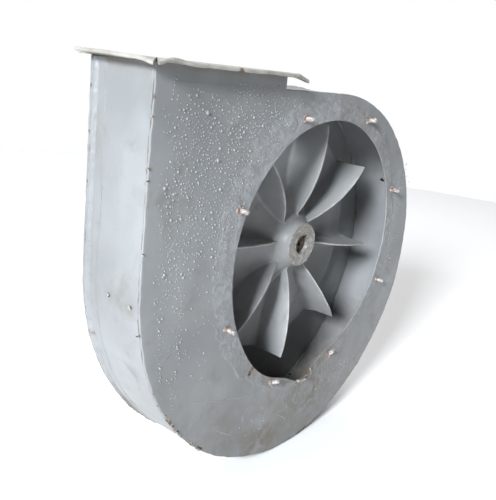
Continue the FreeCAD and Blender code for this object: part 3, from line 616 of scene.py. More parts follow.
def plate_shells(grow, front_y, thickness, hole, relief, rust, residue, dirt_and_shade):
    """A side plate as two closed grids.

    A column is a distance from the opening's edge towards the outer edge, from 0 to the gap
    between them, and a depth from 0 at the front face to the plate's thickness.
    """
    soft = 1.1 * mm
    top = scroll_top + grow
    edge, _ = outline(grow, top, left_x - grow)
    edge = edge[:-1]
    angle = clock(edge[:, 0], edge[:, 1])
    rim_radius = hole(angle)
    rim = np.stack([np.sin(np.radians(angle)), np.cos(np.radians(angle))], -1) * rim_radius[:, None]
    gap = np.linalg.norm(edge - rim, axis=1)[:, None]
    inward = (edge - rim) / gap
    inside = (edge[:, 1] > top - 1e-6) & (edge[:, 0] < right_x + 1e-6)
    chips = 0.5 * mm * wander(np.arange(len(edge)) * 5 * mm, 0 * angle, 0.03, 21)
    soft_edge = np.where(inside, 0.02 * mm, soft)[:, None]
    chips = np.where(inside | (edge[:, 1] > top - 20 * mm), 0, chips)[:, None]
    share = np.linspace(0, 1, 64)[None, :] ** 1.35
    quarter = np.radians(np.array([22.5, 45, 67.5]))[None, :]
    over = soft_edge * np.sin(quarter)
    down = soft_edge * (1 - np.cos(quarter))
    reach = gap + chips
    front = soft + (reach - soft_edge - soft) * share
    outer = there_and_back(reach - soft_edge + over)
    outer_depth = there_and_back(down, thickness - down)
    back = soft + (reach - soft_edge - soft) * np.linspace(1, 0, 16)[None, :]
    inner = there_and_back(soft * (1 - np.sin(quarter))) * np.ones_like(gap)
    inner_depth = soft * (1 - np.cos(quarter))
    inner_depth = there_and_back(thickness - inner_depth, inner_depth) * np.ones_like(gap)
    distance = np.concatenate([front, outer, back, inner], 1)
    deep = np.concatenate([0 * front, outer_depth, thickness + 0 * back, inner_depth], 1)
    x = rim[:, :1] + inward[:, :1] * distance
    z = rim[:, 1:] + inward[:, 1:] * distance
    cover = residue(x, z) * (deep < thickness / 2)
    ridge = 4 * cover * (1 - cover)
    crust = (cover * (0.12 + 0.16 * wander(x, z, 0.012, 31) + 0.12 * wander(x, z, 0.030, 32))
             + 0.5 * ridge) * mm
    y = front_y + deep - relief(x, z) - np.maximum(crust, 0)
    at_edge = hump(distance, reach, 4 * mm) + 0.6 * hump(distance, 0, 3 * mm)
    rusty = rust(x, z) + at_edge * (0.04 + 0.22 * wander(x, z, 0.022, 33))
    main = np.stack([x, y, z, np.clip(rusty, 0, 1), cover, np.clip(dirt_and_shade(x, z), 0, 1)], -1)

    along = np.linspace(left_x - grow, right_x + grow, 60)[:, None]
    up = np.linspace(top, duct_top, 7)[None, :]
    x = along + 0 * there_and_back(up)
    z = there_and_back(up) + 0 * along
    neck = np.stack([x, front_y + there_and_back(0 * up, thickness + 0 * up) - relief(x, z), z,
                     np.clip(rust(x, z), 0, 1), 0 * x, np.clip(dirt_and_shade(x, z), 0, 1)], -1)
    return [shell(main, loop_rows=True), shell(neck)]


# %% Front plate and back plate
on_casing("front_plate_sheet",
          plate_shells(1 * mm, front_low.y, plate, lambda a: inlet_radius + torn_rim(a),
                       front_relief, front_rust, residue_cover, front_dirt_and_shade), ["front_plate"])

spigot_hole = 58.25 * mm
on_casing("back_plate_sheet",
          plate_shells(3 * mm, back_low.y, plate, lambda a: spigot_hole + 0 * a,
                       lambda x, z: 0 * x, lambda x, z: 0.25 * smooth_step(-z, 300 * mm, 430 * mm),
                       lambda x, z: 0 * x, lambda x, z: 0.3 * smooth_step(-z, 250 * mm, 430 * mm)),
          ["back_plate"])

# %% [markdown]
# ## The wrapper
#
# One strip of 3 mm sheet is rolled round the scroll. The grid's rows follow the outline and its
# columns go across the strip on the outside and back on the inside. Hand rolling leaves slow waves.
# Two holes are cut afterwards with a boolean: the drain, and a spot that has rusted right through.
# Both hold a near-black plug below the inner face: painted shade for the dark inside them.

# %% Wrapper
def wrapper_shell():
    """The strip: outline point plus normal times (waviness, or waviness less the thickness)."""
    inset = 0.05 * mm
    near = plate + inset
    far = back_low.y - inset
    across = np.linspace(near, far, 24)[None, :]
    y = there_and_back(across)
    outside = there_and_back(1 + 0 * across, 0 * across)
    along = run_length(path)
    free = np.sin(math.pi * (y - near) / (far - near))
    wave = (0.9 * wander(along, y, 0.22, 41) + 0.3 * wander(along, y, 0.07, 42)) * mm * free
    offset = wave - sheet * (1 - outside)
    x = path[:, :1] + path_normals[:, :1] * offset
    z = path[:, 1:] + path_normals[:, 1:] * offset
    y = y + 0 * x
    low = smooth_step(-z, 300 * mm, 430 * mm)
    edge_line = hump(y, near, 2.5 * mm) * (0.10 + 0.24 * wander(along, y, 0.02, 43))
    lumps = sum(hump(np.hypot(y - ly * mm, z - lz * mm), 0, 9 * mm) for ly, lz in WALL_LUMPS)
    lumps = lumps * (x < left_x + 10 * mm)
    rust = np.clip(0.12 * low + edge_line + 0.26 * lumps, 0, 1)
    oily = (1 - outside) * hump(x, 90 * mm, 130 * mm) * (z < -200 * mm)
    # The band at the top, just under the flange, is dirt with painted shadow.
    dirt_and_shade = 0.35 * low * outside + 0.85 * oily + 0.3 * lumps + 0.55 * hump(z, duct_top, 9 * mm)
    return shell(np.stack([x, y, z, rust, 0 * x, np.clip(dirt_and_shade, 0, 1)], -1))


def pierce(thing, cutters):
    """Cut closed shells out of an object and keep only the finished mesh."""
    tool = new_object("cutter", outward_mesh("cutter", *joined(cutters)))
    holes = thing.modifiers.new("holes", "BOOLEAN")
    holes.operation = "DIFFERENCE"
    holes.solver = "EXACT"
    holes.object = tool
    graph = bpy.context.evaluated_depsgraph_get()
    finished = bpy.data.meshes.new_from_object(thing.evaluated_get(graph))
    thing.modifiers.clear()
    thing.data = finished
    bpy.data.objects.remove(tool)


def ragged_bore(centre, direction, radius, ragged, seed, reach=(-9, 9)):
    """A short bar along a direction whose radius wanders round it by a share of ragged."""
    direction = np.array(direction) / np.linalg.norm(direction)
    side = np.array([0.0, 1.0, 0.0])
    other = np.cross(direction, side)
    angle = full_turn(20)[None, :]
    length = np.array(reach)[:, None] * mm
    r = radius * (1 + ragged * wander(np.cos(angle) * 0.01, np.sin(angle) * 0.01, 0.012, seed))
    points = (np.array(centre) + length[..., None] * direction
              + (r * np.cos(angle))[..., None] * side + (r * np.sin(angle))[..., None] * other)
    return shell(points)


WALL_LUMPS = ((78, -28), (25, -32))
wrapper_sheet = on_casing("wrapper_sheet", [wrapper_shell()], ["scroll_wrapper"])
hole_turn = math.radians(27)
hole_out = (math.cos(hole_turn), 0, math.sin(hole_turn))
rust_hole = upper_centre + (upper_radius - sheet / 2) * np.array([hole_out[0], hole_out[2]])
holes = [((157 * mm, back_low.y - 6 * mm, -385.5 * mm), (0, 0, -1), 4.5 * mm, 0.0, 44),
         ((rust_hole[0], 64 * mm, rust_hole[1]), hole_out, 5.5 * mm, 0.35, 45)]
pierce(wrapper_sheet, [ragged_bore(*hole) for hole in holes])
# Near-black plugs below the inner face: painted shade inside the two holes.
piece("hole_painted_shade", [ragged_bore(place, way, radius - 0.1 * mm, ragged, seed, (0.2, 1.4))
                    for place, way, radius, ragged, seed in holes],
      black_shade_finish, "casing")

# %% [markdown]
# ## Weld beads and sealant
#
# A weld bead is a rounded strip laid in a corner, with ripples where each drop of metal froze. Its
# section here is a height over a width, h = sine of the share across it, times a ripple that runs
# along the bead. The rear seam is wider: a brushed strip of sealant with a lumpy bead at the plate.

# %% Beads
def bead_shell(line, outward, along_y, width, height, ripple=1.2, seed=1, rust=0.3):
    """A bead along a line of (x, y, z): sideways by width, out by height times a sine."""
    share = np.linspace(0, 1, 9)[None, :]
    length = run_length(line)
    frozen = 1 + 0.22 * np.sin(2 * math.pi * length / (ripple * 3 * mm) + 3 * (share - 0.5) ** 2)
    uneven = 1 + 0.35 * wander(length, 0 * length, 0.03, seed)
    lift = height * np.sin(math.pi * share) * frozen * uneven
    side = (share - 0.5) * width * uneven
    line, outward, along_y = line[:, None, :], outward[:, None, :], along_y[:, None, :]
    top = line + outward * lift[..., None] + along_y * side[..., None]
    under = line - outward * 0.6 * mm + along_y * (side * 0.8)[..., None]
    rusty = there_and_back(np.clip(rust + 0.35 * wander(length, share, 0.05, seed + 7), 0, 1))
    return shell(np.concatenate([there_and_back(top, under), rusty[..., None]], -1))


def seam_line(grow, y, way=1):
    """A line along the outline at one depth, the way the bead faces (1 outward, -1 inward), and Y."""
    points, normals = outline(grow, duct_top - 1 * mm, right_x, 2 * mm)
    line = np.stack([points[:, 0], np.full(len(points), y), points[:, 1]], -1)
    facing = np.stack([normals[:, 0], 0 * normals[:, 0], normals[:, 1]], -1) * way
    return line, facing, np.tile([0.0, 1.0, 0.0], (len(line), 1))


on_casing("front_edge_weld", [bead_shell(*seam_line(0.2 * mm, plate + 1.2 * mm), 3.0 * mm, 1.1 * mm,
                                         seed=51, rust=0.10)])
on_casing("inner_seam_weld", [bead_shell(*seam_line(-sheet - 0.2 * mm, back_low.y - 1.8 * mm, -1),
                                         4.4 * mm, 2.2 * mm, seed=53, rust=0.06)])


# %% Sealed rear seam
def sealed_seam_shell():
    """The rear seam: the outline moved out by a height that depends on the depth across the strip."""
    points, normals = outline(0, duct_top - 2 * mm, right_x, 2.5 * mm)
    across = np.array([108, 110, 113, 118, 123, 126, 128, 129.5, 131, 133, 135, 137, 139, 140.8])
    height = np.array([-0.5, 0.7, 1.2, 1.3, 1.2, 0.8, 0.5, 1.4, 2.8, 3.8, 4.1, 3.6, 3.0, 2.6])
    length = run_length(points)
    y = across[None, :] * mm
    lumpy = smooth_step(y, 127 * mm, 133 * mm)
    h = height[None, :] * (1 + 0.14 * wander(length, y, 0.05, 61))
    h = h + lumpy * (0.35 * wander(length, y, 0.008, 62) + 0.4 * wander(length, y, 0.02, 63))
    h = h + (1 - lumpy) * 0.15 * wander(length, y * 6, 0.03, 64)
    h = there_and_back(h, -0.8 + 0 * h) * mm
    y = there_and_back(y) + 0 * h
    x = points[:, :1] + normals[:, :1] * h
    z = points[:, 1:] + normals[:, 1:] * h
    low = smooth_step(-z, 180 * mm, 280 * mm)
    rust = 0.05 + 0.36 * low * hump(y, 139 * mm, 5 * mm) + 0.12 * wander(length, y, 0.03, 65)
    dirt_and_shade = 1.0 * low * hump(y, 138 * mm, 9 * mm) + 0.3 * hump(y, 108 * mm, 3 * mm)
    return shell(np.stack([x, y, z, np.clip(rust, 0, 1), 0.25 * (y > 127 * mm), dirt_and_shade], -1))


on_casing("rear_seam_sealant", [sealed_seam_shell()])

# %% [markdown]
# ## The outlet flange
#
# Four strips stand out round the outlet. Each one is a grid between an inner and an outer line, over
# the top and back underneath. They have been bent in use: the front strip is pulled down at its
# left end and rises beside it, and the right one is turned down at the front.

# %% Flange strips
def strip_shell(inner_start, inner_stop, outer_start, outer_stop, sag, seed):
    """Points inner + (outer - inner) * share, lowered by sag(t) * share mm; t runs along the strip."""
    t = np.linspace(0, 1, 70)[:, None]
    share = np.array([0, 0.15, 0.35, 0.55, 0.75, 0.9, 0.97, 1.0])
    over = np.concatenate([share, [1.015, 1.02, 1.015], share[::-1]])[None, :]
    thickness = lip_top - duct_top
    level = np.concatenate([np.zeros(6), [0.04, 0.15], [0.3, 0.5, 0.7], [0.85, 0.96], np.ones(6)])
    inner = np.array(inner_start) + (np.array(inner_stop) - np.array(inner_start)) * t
    outer = np.array(outer_start) + (np.array(outer_stop) - np.array(outer_start)) * t
    x = inner[:, :1] + (outer - inner)[:, :1] * over
    y = inner[:, 1:] + (outer - inner)[:, 1:] * over
    wave = 0.6 * mm * wander(x, y, 0.09, seed) * over
    ragged = 0.7 * mm * wander(x + y, x - y, 0.025, seed + 1) * (over > 0.95)
    z = lip_top - thickness * level[None, :] - sag(t) * over * mm + wave
    rust = 0.06 + 0.06 * hump(over, 1.0, 0.12) + 0.13 * wander(x, y, 0.03, seed + 2)
    rust = rust + 0.08 * (level[None, :] > 0.9) + 0.08 * hump(t, 0, 0.01) + 0.2 * hump(t, 1, 0.015)
    # The underside is darker: painted shade under the lip, with random dirt over the strip.
    dirt_and_shade = 0.5 * (level[None, :] > 0.9) + 0.35 * wander(x, y, 0.05, seed + 3) + 0 * x
    return shell(np.stack([x + ragged, y + ragged, z, np.clip(rust, 0, 1), 0 * x,
                           np.clip(dirt_and_shade, 0, 1)], -1))


near_y = front_high.y
far_y = back_low.y
inner_left = left_x + sheet
inner_right = right_x - 3 * mm
butt_x = right_x - 3.2 * mm
strips = {
    "left": ((inner_left, near_y), (inner_left, far_y),
             (lip_low.x + 3 * mm, lip_low.y - 13 * mm), (lip_low.x, lip_high.y),
             lambda t: -2.6 * t + 4.5 * hump(t, 0, 0.07), 71),
    "front": ((inner_left, near_y), (butt_x, near_y),
              (front_lip_low.x - 12 * mm, front_lip_low.y), (butt_x, front_lip_low.y),
              lambda t: 1.5 + 3.5 * hump(t, 0, 0.03) - 4.0 * hump(t, 0.09, 0.05), 74),
    "right": ((inner_right, right_lip_low.y), (inner_right, right_lip_high.y),
              (right_lip_high.x, right_lip_low.y), (right_lip_high.x, right_lip_high.y),
              lambda t: 1.5 + 7 * hump(t, 0, 0.06), 77),
    "back": ((inner_left, far_y), (butt_x, far_y),
             (back_lip_low.x, back_lip_high.y), (butt_x, back_lip_high.y),
             lambda t: 1.2 + 0 * t, 80),
}
for side_name, strip in strips.items():
    on_casing("bent_strip_" + side_name, [strip_shell(*strip)], ["outlet_flange_" + side_name],
              lip_paint)

# %% [markdown]
# ## The wheel: coned disc and hub
#
# The disc is spun from sheet: flat at its rim, and curving forward into the hub in the middle, where
# its meridian is an arc of radius R round a centre in front of the rim: y = c + square root of
# (R^2 - (flat - r)^2). The hub carries the same curve on, so the two read as one flowing shape.

# %% Cone curve
disc_face = 117 * mm
disc_sheet = 4 * mm
flat_radius = 150 * mm
seat_radius = 64 * mm
hub_radius = 46 * mm
hub_front = 45 * mm
collar_back = 53 * mm
bore_radius = 19 * mm
rise = disc_face - collar_back
reach = flat_radius - hub_radius
cone_radius = (reach ** 2 + rise ** 2) / (2 * rise)
cone_centre = disc_face - cone_radius


def cone(radius, behind=0.0):
    """Depth of the disc's face at a radius; behind moves it back along its own normal."""
    across = np.maximum(flat_radius - radius, 0)
    return cone_centre + np.sqrt((cone_radius + behind) ** 2 - across ** 2)


def turned_shell(profile, steps, bend):
    """A closed profile of (radius, y) turned round the Y axis; bend(angle, radius, y) alters it."""
    angle = full_turn(steps)[:, None]
    radius, y, *extra = bend(angle, profile[None, :, 0] + 0 * angle, profile[None, :, 1] + 0 * angle)
    return shell(np.stack([radius * np.sin(angle), y, radius * np.cos(angle), *extra], -1),
                 loop_rows=True)


rim_radius = wheel_radius - 2 * mm
disc_front_radii = np.linspace(seat_radius, rim_radius, 50)
disc_back_radii = np.linspace(rim_radius, seat_radius, 30)
disc_profile = np.concatenate([
    np.stack([disc_front_radii, cone(disc_front_radii)], -1),
    np.stack([disc_back_radii, cone(disc_back_radii, disc_sheet)], -1)])


def disc_bend(angle, radius, y):
    """The disc runs slightly out of true towards its rim and carries a little patchy rust."""
    y = y + 0.5 * mm * np.sin(angle * 2 + 0.6) * smooth_step(radius, 120 * mm, rim_radius)
    rust = 0.04 + 0.07 * wander(angle * 0.2, radius, 0.05, 91)
    return radius, y, np.clip(rust, 0, 1) + 0 * radius, 0 * radius


on_wheel("wheel_disc_spun", [turned_shell(disc_profile, 256, disc_bend)], "wheel_back_disc")

# %% [markdown]
# ## Hub
#
# The hub's face is rough from corrosion, its bore has a keyway, and behind the face it flares into
# the disc. The keyway is made by moving the bore's wall out wherever the point lies within half the
# key's width of the key's clock angle.

# %% Hub
key_angle = math.radians(29)
key_half_width = 5 * mm
key_slot_radius = 22.3 * mm


def hub_profile():
    """The hub's section: face, rim, short collar, flare, seat, web, boss and bore."""
    face = np.linspace(bore_radius + 1 * mm, hub_radius - 2 * mm, 18)
    flare = np.linspace(hub_radius, seat_radius, 14)
    steps = [np.stack([face, np.full(18, hub_front)], -1),
             [(hub_radius - 0.6 * mm, hub_front + 0.7 * mm), (hub_radius, hub_front + 2.2 * mm),
              (hub_radius, collar_back - 3 * mm), (hub_radius + 0.3 * mm, collar_back - 1 * mm)],
             np.stack([flare, cone(flare)], -1)[1:],
             [(seat_radius, cone(seat_radius, disc_sheet)),
              (hub_radius, cone(seat_radius, disc_sheet) + 12 * mm),
              (hub_radius, hub_back - 1 * mm), (hub_radius - 1 * mm, hub_back),
              (bore_radius + 1 * mm, hub_back)],
             [(bore_radius, y) for y in np.linspace(hub_back - 1 * mm, hub_front + 1 * mm, 12)]]
    return np.concatenate([np.asarray(part) for part in steps])


def hub_bend(angle, radius, y):
    """Pit the face, round the bore's mouth unevenly and push out the keyway."""
    x = radius * np.sin(angle)
    z = radius * np.cos(angle)
    on_face = hump(y, hub_front, 1.2 * mm) * (radius > bore_radius + 0.5 * mm)
    pits = 0.45 * wander(x, z, 0.006, 95) + 0.35 * wander(x, z, 0.015, 96)
    y = y + on_face * pits * mm
    sideways = radius * np.sin(angle - key_angle)
    in_slot = (np.abs(sideways) < key_half_width) & (np.cos(angle - key_angle) > 0)
    in_slot = in_slot & (radius < key_slot_radius)
    deep = key_slot_radius / np.maximum(np.cos(angle - key_angle), 0.5)
    radius = np.where(in_slot, np.minimum(deep, key_slot_radius + 1 * mm), radius)
    rust = 0.05 + 0.20 * hump(radius, bore_radius, 4 * mm) + 0.10 * wander(x, z, 0.02, 97)
    wear = np.clip(on_face * 1.2, 0, 1) * 0.9
    # The bore, the keyway and the bore's mouth are darkened fully: painted shade in the recess.
    dirt_and_shade = np.clip(on_face * 0.6 + (radius < bore_radius + 3.5 * mm), 0, 1)
    return radius, y, np.clip(rust, 0, 1), wear, dirt_and_shade


on_wheel("wheel_hub_turned", [turned_shell(hub_profile(), 360, hub_bend)], "wheel_hub")

# %% [markdown]
# ## Blades
#
# A blade is a plate on edge. Its grid's rows go outwards along the blade, and each row's columns go
# round a section: up one face from the disc, over the rounded front edge, down the other face, with
# a fillet of radius f at both feet where it was welded and dressed. Its front edge is an arc that
# bows forward between root and tip. Each blade has its own slight bend.

# %% Blade surface
root_radius = 60 * mm
tip_front = 40 * mm
root_lift = 3 * mm
bow = 16 * mm
blade_sheet = 4 * mm
blade_angles = 6.5 + 45.0 * np.arange(8)

root_front = float(cone(root_radius)) - root_lift
chord = math.dist((root_radius, root_front), (wheel_radius, tip_front))
bow_radius = (chord ** 2 / 4 + bow ** 2) / (2 * bow)
bow_offset = (bow_radius - bow) / chord
bow_centre = ((root_radius + wheel_radius) / 2 + bow_offset * (root_front - tip_front),
              (root_front + tip_front) / 2 + bow_offset * (wheel_radius - root_radius))


def front_edge(radius):
    """Depth of the blade's front edge: centre - square root of (R^2 - (r - r0)^2)."""
    return bow_centre[1] - np.sqrt(bow_radius ** 2 - (radius - bow_centre[0]) ** 2)


def blade_shell(clock_angle, seed):
    """One blade, built along a straight radius and then turned to its clock angle."""
    chance = np.random.default_rng(seed)
    radius = np.linspace(root_radius - 4 * mm, wheel_radius, 60)[:, None]
    foot = cone(radius)
    edge = np.minimum(front_edge(np.maximum(radius, root_radius)), foot - 1.0 * mm)
    height = foot - edge
    half = blade_sheet / 2 * (1 - 0.25 * smooth_step(radius, 200 * mm, 250 * mm))
    fillet = np.minimum(7 * mm, 0.7 * height)
    quarter = np.radians(np.linspace(0, 90, 6))[None, :]
    side_foot = half + fillet * (1 - np.sin(quarter))
    up_foot = fillet * (1 - np.cos(quarter))
    rise_share = np.linspace(0, 1, 12)[None, 1:]
    top = np.maximum(height - half, up_foot[:, -1:] + 0.1 * mm)
    side_wall = half + 0 * rise_share
    up_wall = up_foot[:, -1:] + (top - up_foot[:, -1:]) * rise_share
    nose = np.radians(np.linspace(20, 90, 4))[None, :]
    side_nose = half * np.cos(nose)
    up_nose = top + half * np.sin(nose)
    side = np.concatenate([half + fillet + 0 * side_foot[:, :1], side_foot, side_wall, side_nose], 1)
    up = np.concatenate([-1.5 * mm + 0 * up_foot[:, :1], up_foot, up_wall, up_nose], 1)
    sides = np.concatenate([side, -side[:, -2::-1]], 1)
    ups = np.concatenate([up, up[:, -2::-1]], 1)
    share = np.clip(ups / height, 0, 1)
    along = (radius - root_radius) / (wheel_radius - root_radius)
    bend = chance.uniform(1.5, 3.5) * np.sin(math.pi * np.clip(along, 0, 1)) * share
    bend = bend + chance.uniform(-1.5, 1.5) * share ** 2 * along
    sides = sides + bend * mm + 0.25 * mm * wander(radius, ups, 0.05, seed + 1) * share
    y = foot - ups
    a = math.radians(clock_angle)
    x = radius * math.sin(a) + sides * math.cos(a)
    z = radius * math.cos(a) - sides * math.sin(a)
    rust = 0.03 + 0.10 * wander(radius, ups, 0.04, seed + 2) + 0.05 * (1 - share) ** 4
    wear = 0.75 * smooth_step(share, 0.93, 1.0) * (0.7 + 0.3 * wander(radius, 0 * radius, 0.03, seed))
    return shell(np.stack([x, y, z, np.clip(rust, 0, 1), np.clip(wear, 0, 1)], -1))


for number, blade_angle in enumerate(blade_angles, start=1):
    on_wheel("paddle_%d" % number, [blade_shell(blade_angle, 100 + number * 5)], "blade_%d" % number)

# %% [markdown]
# ## Weld studs
#
# Each stud is an M8 thread: the radius falls and rises once per pitch along a helix, r = r0 minus
# depth times a triangle wave of (length / pitch - angle / full turn). Old paint fills the thread
# and thickens the stud by half a millimetre. Knocks have left them leaning, the two lowest most. A
# lumpy collar of weld sits round each foot.

# %% Studs
stud_radius = 4.5 * mm
stud_length = -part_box("inlet_studs")[0].y
pitch = 1.25 * mm
stud_circle = frame["record"]["mounts"][0]["dims"]["pcd_mm"] / 2 * mm
stud_angles = 22.5 + 45.0 * np.arange(8)
lean = {157.5: (-22, 44), 202.5: (10, 26), 247.5: (3, -4), 67.5: (4, -4), 112.5: (-4, 2),
        22.5: (4, 8), 337.5: (6, 2), 292.5: (4, -4)}


def stud_foot(clock_angle):
    """Where a stud stands on the plate's relief."""
    a = math.radians(clock_angle)
    x = stud_circle * math.sin(a)
    z = stud_circle * math.cos(a)
    return np.array([x, -float(front_relief(x, z)), z])


def leaning(points, foot, clock_angle):
    """Tilt points about the foot by the two lean angles, keeping the foot where it is."""
    right, up = (math.radians(value) for value in lean[clock_angle])
    tilt = Matrix.Rotation(right, 3, "Z") @ Matrix.Rotation(-up, 3, "X")
    return (points - foot) @ np.array(tilt).T + foot


def stud_shell(clock_angle, seed):
    """A threaded stud that stands forward of the plate."""
    foot = stud_foot(clock_angle)
    length = np.linspace(-1 * mm, stud_length - 0.8 * mm, 150)[:, None]
    angle = full_turn(20)[None, :]
    phase = (length / pitch - angle / (2 * math.pi)) % 1
    thread = 0.42 * mm * np.abs(2 * phase - 1)
    radius = stud_radius - thread * smooth_step(length, 1.5 * mm, 3 * mm)
    radius = radius - 1.1 * mm * smooth_step(length, stud_length - 2.6 * mm, stud_length - 0.8 * mm)
    radius = radius * (1 + 0.03 * wander(length, angle * 0.004, 0.004, seed))
    x = foot[0] + radius * np.cos(angle)
    z = foot[2] + radius * np.sin(angle)
    y = foot[1] - length + 0 * angle
    points = leaning(np.stack([x, y, z], -1), foot, clock_angle)
    rust = np.clip(0.9 - length / (9 * mm), 0, 1) + 0 * angle
    return shell(np.concatenate([points, rust[..., None]], -1))


def collar_shell(clock_angle, seed):
    """A lumpy ring of weld: height falls from the stud to the plate along a quarter circle."""
    foot = stud_foot(clock_angle)
    angle = full_turn(36)[:, None]
    share = np.linspace(0, 1, 8)[None, :]
    lump = 1 + 0.25 * wander(np.cos(angle) * 0.01, np.sin(angle) * 0.01, 0.012, seed)
    radius = there_and_back(stud_radius - 0.5 * mm + (4.2 * mm * lump) * share)
    height = 2.8 * mm * np.sqrt(1 - share ** 2) * lump
    height = there_and_back(height, -0.8 * mm + 0 * height)
    points = np.stack([foot[0] + radius * np.sin(angle), foot[1] - height,
                       foot[2] + radius * np.cos(angle)], -1)
    rust = 0.55 + 0.3 * wander(points[..., 0], points[..., 2], 0.008, seed + 1)
    return shell(np.concatenate([points, rust[..., None]], -1), loop_rows=True)


for name, make_shell, seed, replaced in (("threaded_studs", stud_shell, 200, ["inlet_studs"]),
                                         ("stud_weld_collars", collar_shell, 230, ())):
    piece(name, [make_shell(a, seed + i) for i, a in enumerate(stud_angles)], stud_rust, "casing",
          replaced)

# %% [markdown]
# ## Blisters in the paint
#
# The front is peppered with little domes, thickest in upright bands left of the inlet. Each dome is a
# few dozen faces: rings of points at height h = sine, radius = cosine. One dome is worked out once
# and copied with numpy to places from a seeded generator, kept only where the plate is, and set on
# the plate's own relief.

# %% Blisters
def repeated(unit, places, sizes, basis):
    """Copy one small shell to many places: place + (its point times the copy's size) in a basis."""
    corners, faces = unit
    points = places[:, None, :] + (corners[None, :, :3] * sizes[:, None, :]) @ np.array(basis)
    extra = np.broadcast_to(corners[None, :, 3:], points.shape[:2] + (len(CHANNELS),))
    shift = np.arange(len(places))[:, None, None] * len(corners)
    all_faces = []
    for count in (3, 4):
        some = np.array([face for face in faces if len(face) == count])
        all_faces += (some[None] + shift).reshape(-1, count).tolist()
    return np.concatenate([points, extra], -1).reshape(-1, 3 + len(CHANNELS)), all_faces


def dome():
    """A unit dome: rings at radius = cosine and height = sine of a rising angle."""
    ring = np.radians([-25.0, 5.0, 35.0, 62.0])[:, None]
    around = full_turn(9)[None, :]
    return shell(np.stack([np.cos(ring) * np.cos(around), np.sin(ring) + 0 * around,
                           np.cos(ring) * np.sin(around)], -1))


def blister_places():
    """Places and sizes of the blisters: bands of (x, lowest z, highest z, spread, how many)."""
    chance = np.random.default_rng(300)
    bands = [(-436, -60, 318, 5, 40), (-421, -200, 322, 6, 110), (-404, -20, 305, 7, 130),
             (-383, -195, 300, 5, 120), (-368, 40, 300, 12, 240), (-345, 60, 300, 9, 120),
             (-322, 20, 290, 12, 110), (-298, 40, 318, 9, 190), (-272, 60, 318, 8, 200),
             (-250, 150, 315, 12, 150), (-222, 190, 318, 14, 130), (-195, 215, 318, 12, 90),
             (-350, -210, 300, 60, 130), (-382, -330, -190, 3, 10), (-150, 245, 300, 30, 40),
             (312, -150, 170, 16, 60), (150, -340, -290, 50, 20), (-100, -380, -300, 90, 24)]
    rows = []
    for x, low, high, spread, count in bands:
        count = int(1.5 * count)
        across = chance.normal(x, spread, count)
        up = chance.uniform(low, high, count)
        size = 0.95 + chance.gamma(1.7, 0.30, count)
        rows.append(np.stack([across, up, size], -1))
    places = np.concatenate(rows) * mm
    radius = np.hypot(places[:, 0], places[:, 1])
    right = np.where(places[:, 1] > 300 * mm, right_x - 8 * mm, 1.0)
    keep = (radius > inlet_radius + 18 * mm) & (places[:, 0] > left_x + 7 * mm)
    keep = keep & (places[:, 0] < right) & (places[:, 1] < duct_top - 8 * mm)
    lower = np.hypot(places[:, 0] - lower_centre[0], places[:, 1] - lower_centre[1])
    keep = keep & ((places[:, 1] > 0) | (lower < side_radius + 20 * mm))
    places = places[keep]
    apart = np.linalg.norm(places[:, None, :2] - places[None, :, :2], axis=-1)
    crowded = np.triu(apart < 4.0 * mm, 1).any(0)
    return places[~crowded]


spots = blister_places()
spot_x, spot_z, spot_size = spots.T
on_plate = np.stack([spot_x, -front_relief(spot_x, spot_z), spot_z], -1)
tall = np.random.default_rng(301).uniform(0.55, 0.85, len(spots))
dome_sizes = np.stack([spot_size, spot_size * tall, spot_size], -1)
FRONT_BASIS = ((1, 0, 0), (0, -1, 0), (0, 0, 1))
WALL_BASIS = ((0, 1, 0), (-1, 0, 0), (0, 0, 1))
# The blisters' paint is lighter than the casing's: a painted highlight.
on_casing("paint_blisters", [repeated(dome(), on_plate, dome_sizes, FRONT_BASIS)],
          finish=painted_highlight_paint, sharp=80)

# %% [markdown]
# ## Scars
#
# The blower has stood outdoors. A long scratch runs under the inlet with short ones round it, rusty
# lumps sit on the left wall and along the lower edge, and a strip of the inlet's rim is torn and
# rolled forward. A scratch is a very low bead; a lump is a ball whose radius wanders; the torn strip
# is a bead that stands further and further forward, and drops back at its end.

# %% Scratches, lumps and the torn rim
def scratch_shell(start, stop, seed):
    """A low ridge between two points of the front plate, wandering a little sideways."""
    count = max(6, int(math.dist(start, stop) / (4 * mm)))
    share = np.linspace(0, 1, count)
    x = start[0] + (stop[0] - start[0]) * share
    z = start[1] + (stop[1] - start[1]) * share + 1.2 * mm * wander(x, 0 * x, 0.06, seed)
    line = np.stack([x, -front_relief(x, z), z], -1)
    ahead = np.gradient(line, axis=0)
    side = np.stack([-ahead[:, 2], 0 * x, ahead[:, 0]], -1)
    side /= np.linalg.norm(side, axis=1, keepdims=True)
    out = np.tile([0.0, -1.0, 0.0], (count, 1))
    return bead_shell(line, out, side, 1.6 * mm, 0.45 * mm, ripple=9, seed=seed, rust=0.0)


scratch_chance = np.random.default_rng(310)
scratch_lines = [((-340 * mm, -233 * mm), (-156 * mm, -278 * mm))]
for middle_x, middle_z, reach in ((-410, 150, 16), (-415, 60, 12), (-380, -60, 14), (-395, -120, 18),
                                  (-240, -330, 26), (-60, -360, 22), (60, -360, 20), (120, -330, 24),
                                  (160, -300, 22), (-200, 280, 12), (-150, -310, 14)):
    heading = scratch_chance.uniform(-1.2, 1.2)
    run = reach * mm * np.array([math.cos(heading), math.sin(heading)])
    middle_point = np.array([middle_x, middle_z]) * mm
    scratch_lines.append((tuple(middle_point - run), tuple(middle_point + run)))
# The scratches take the same lighter paint: a painted highlight.
on_casing("scratches", [scratch_shell(*line, 320 + i) for i, line in enumerate(scratch_lines)],
          finish=painted_highlight_paint)


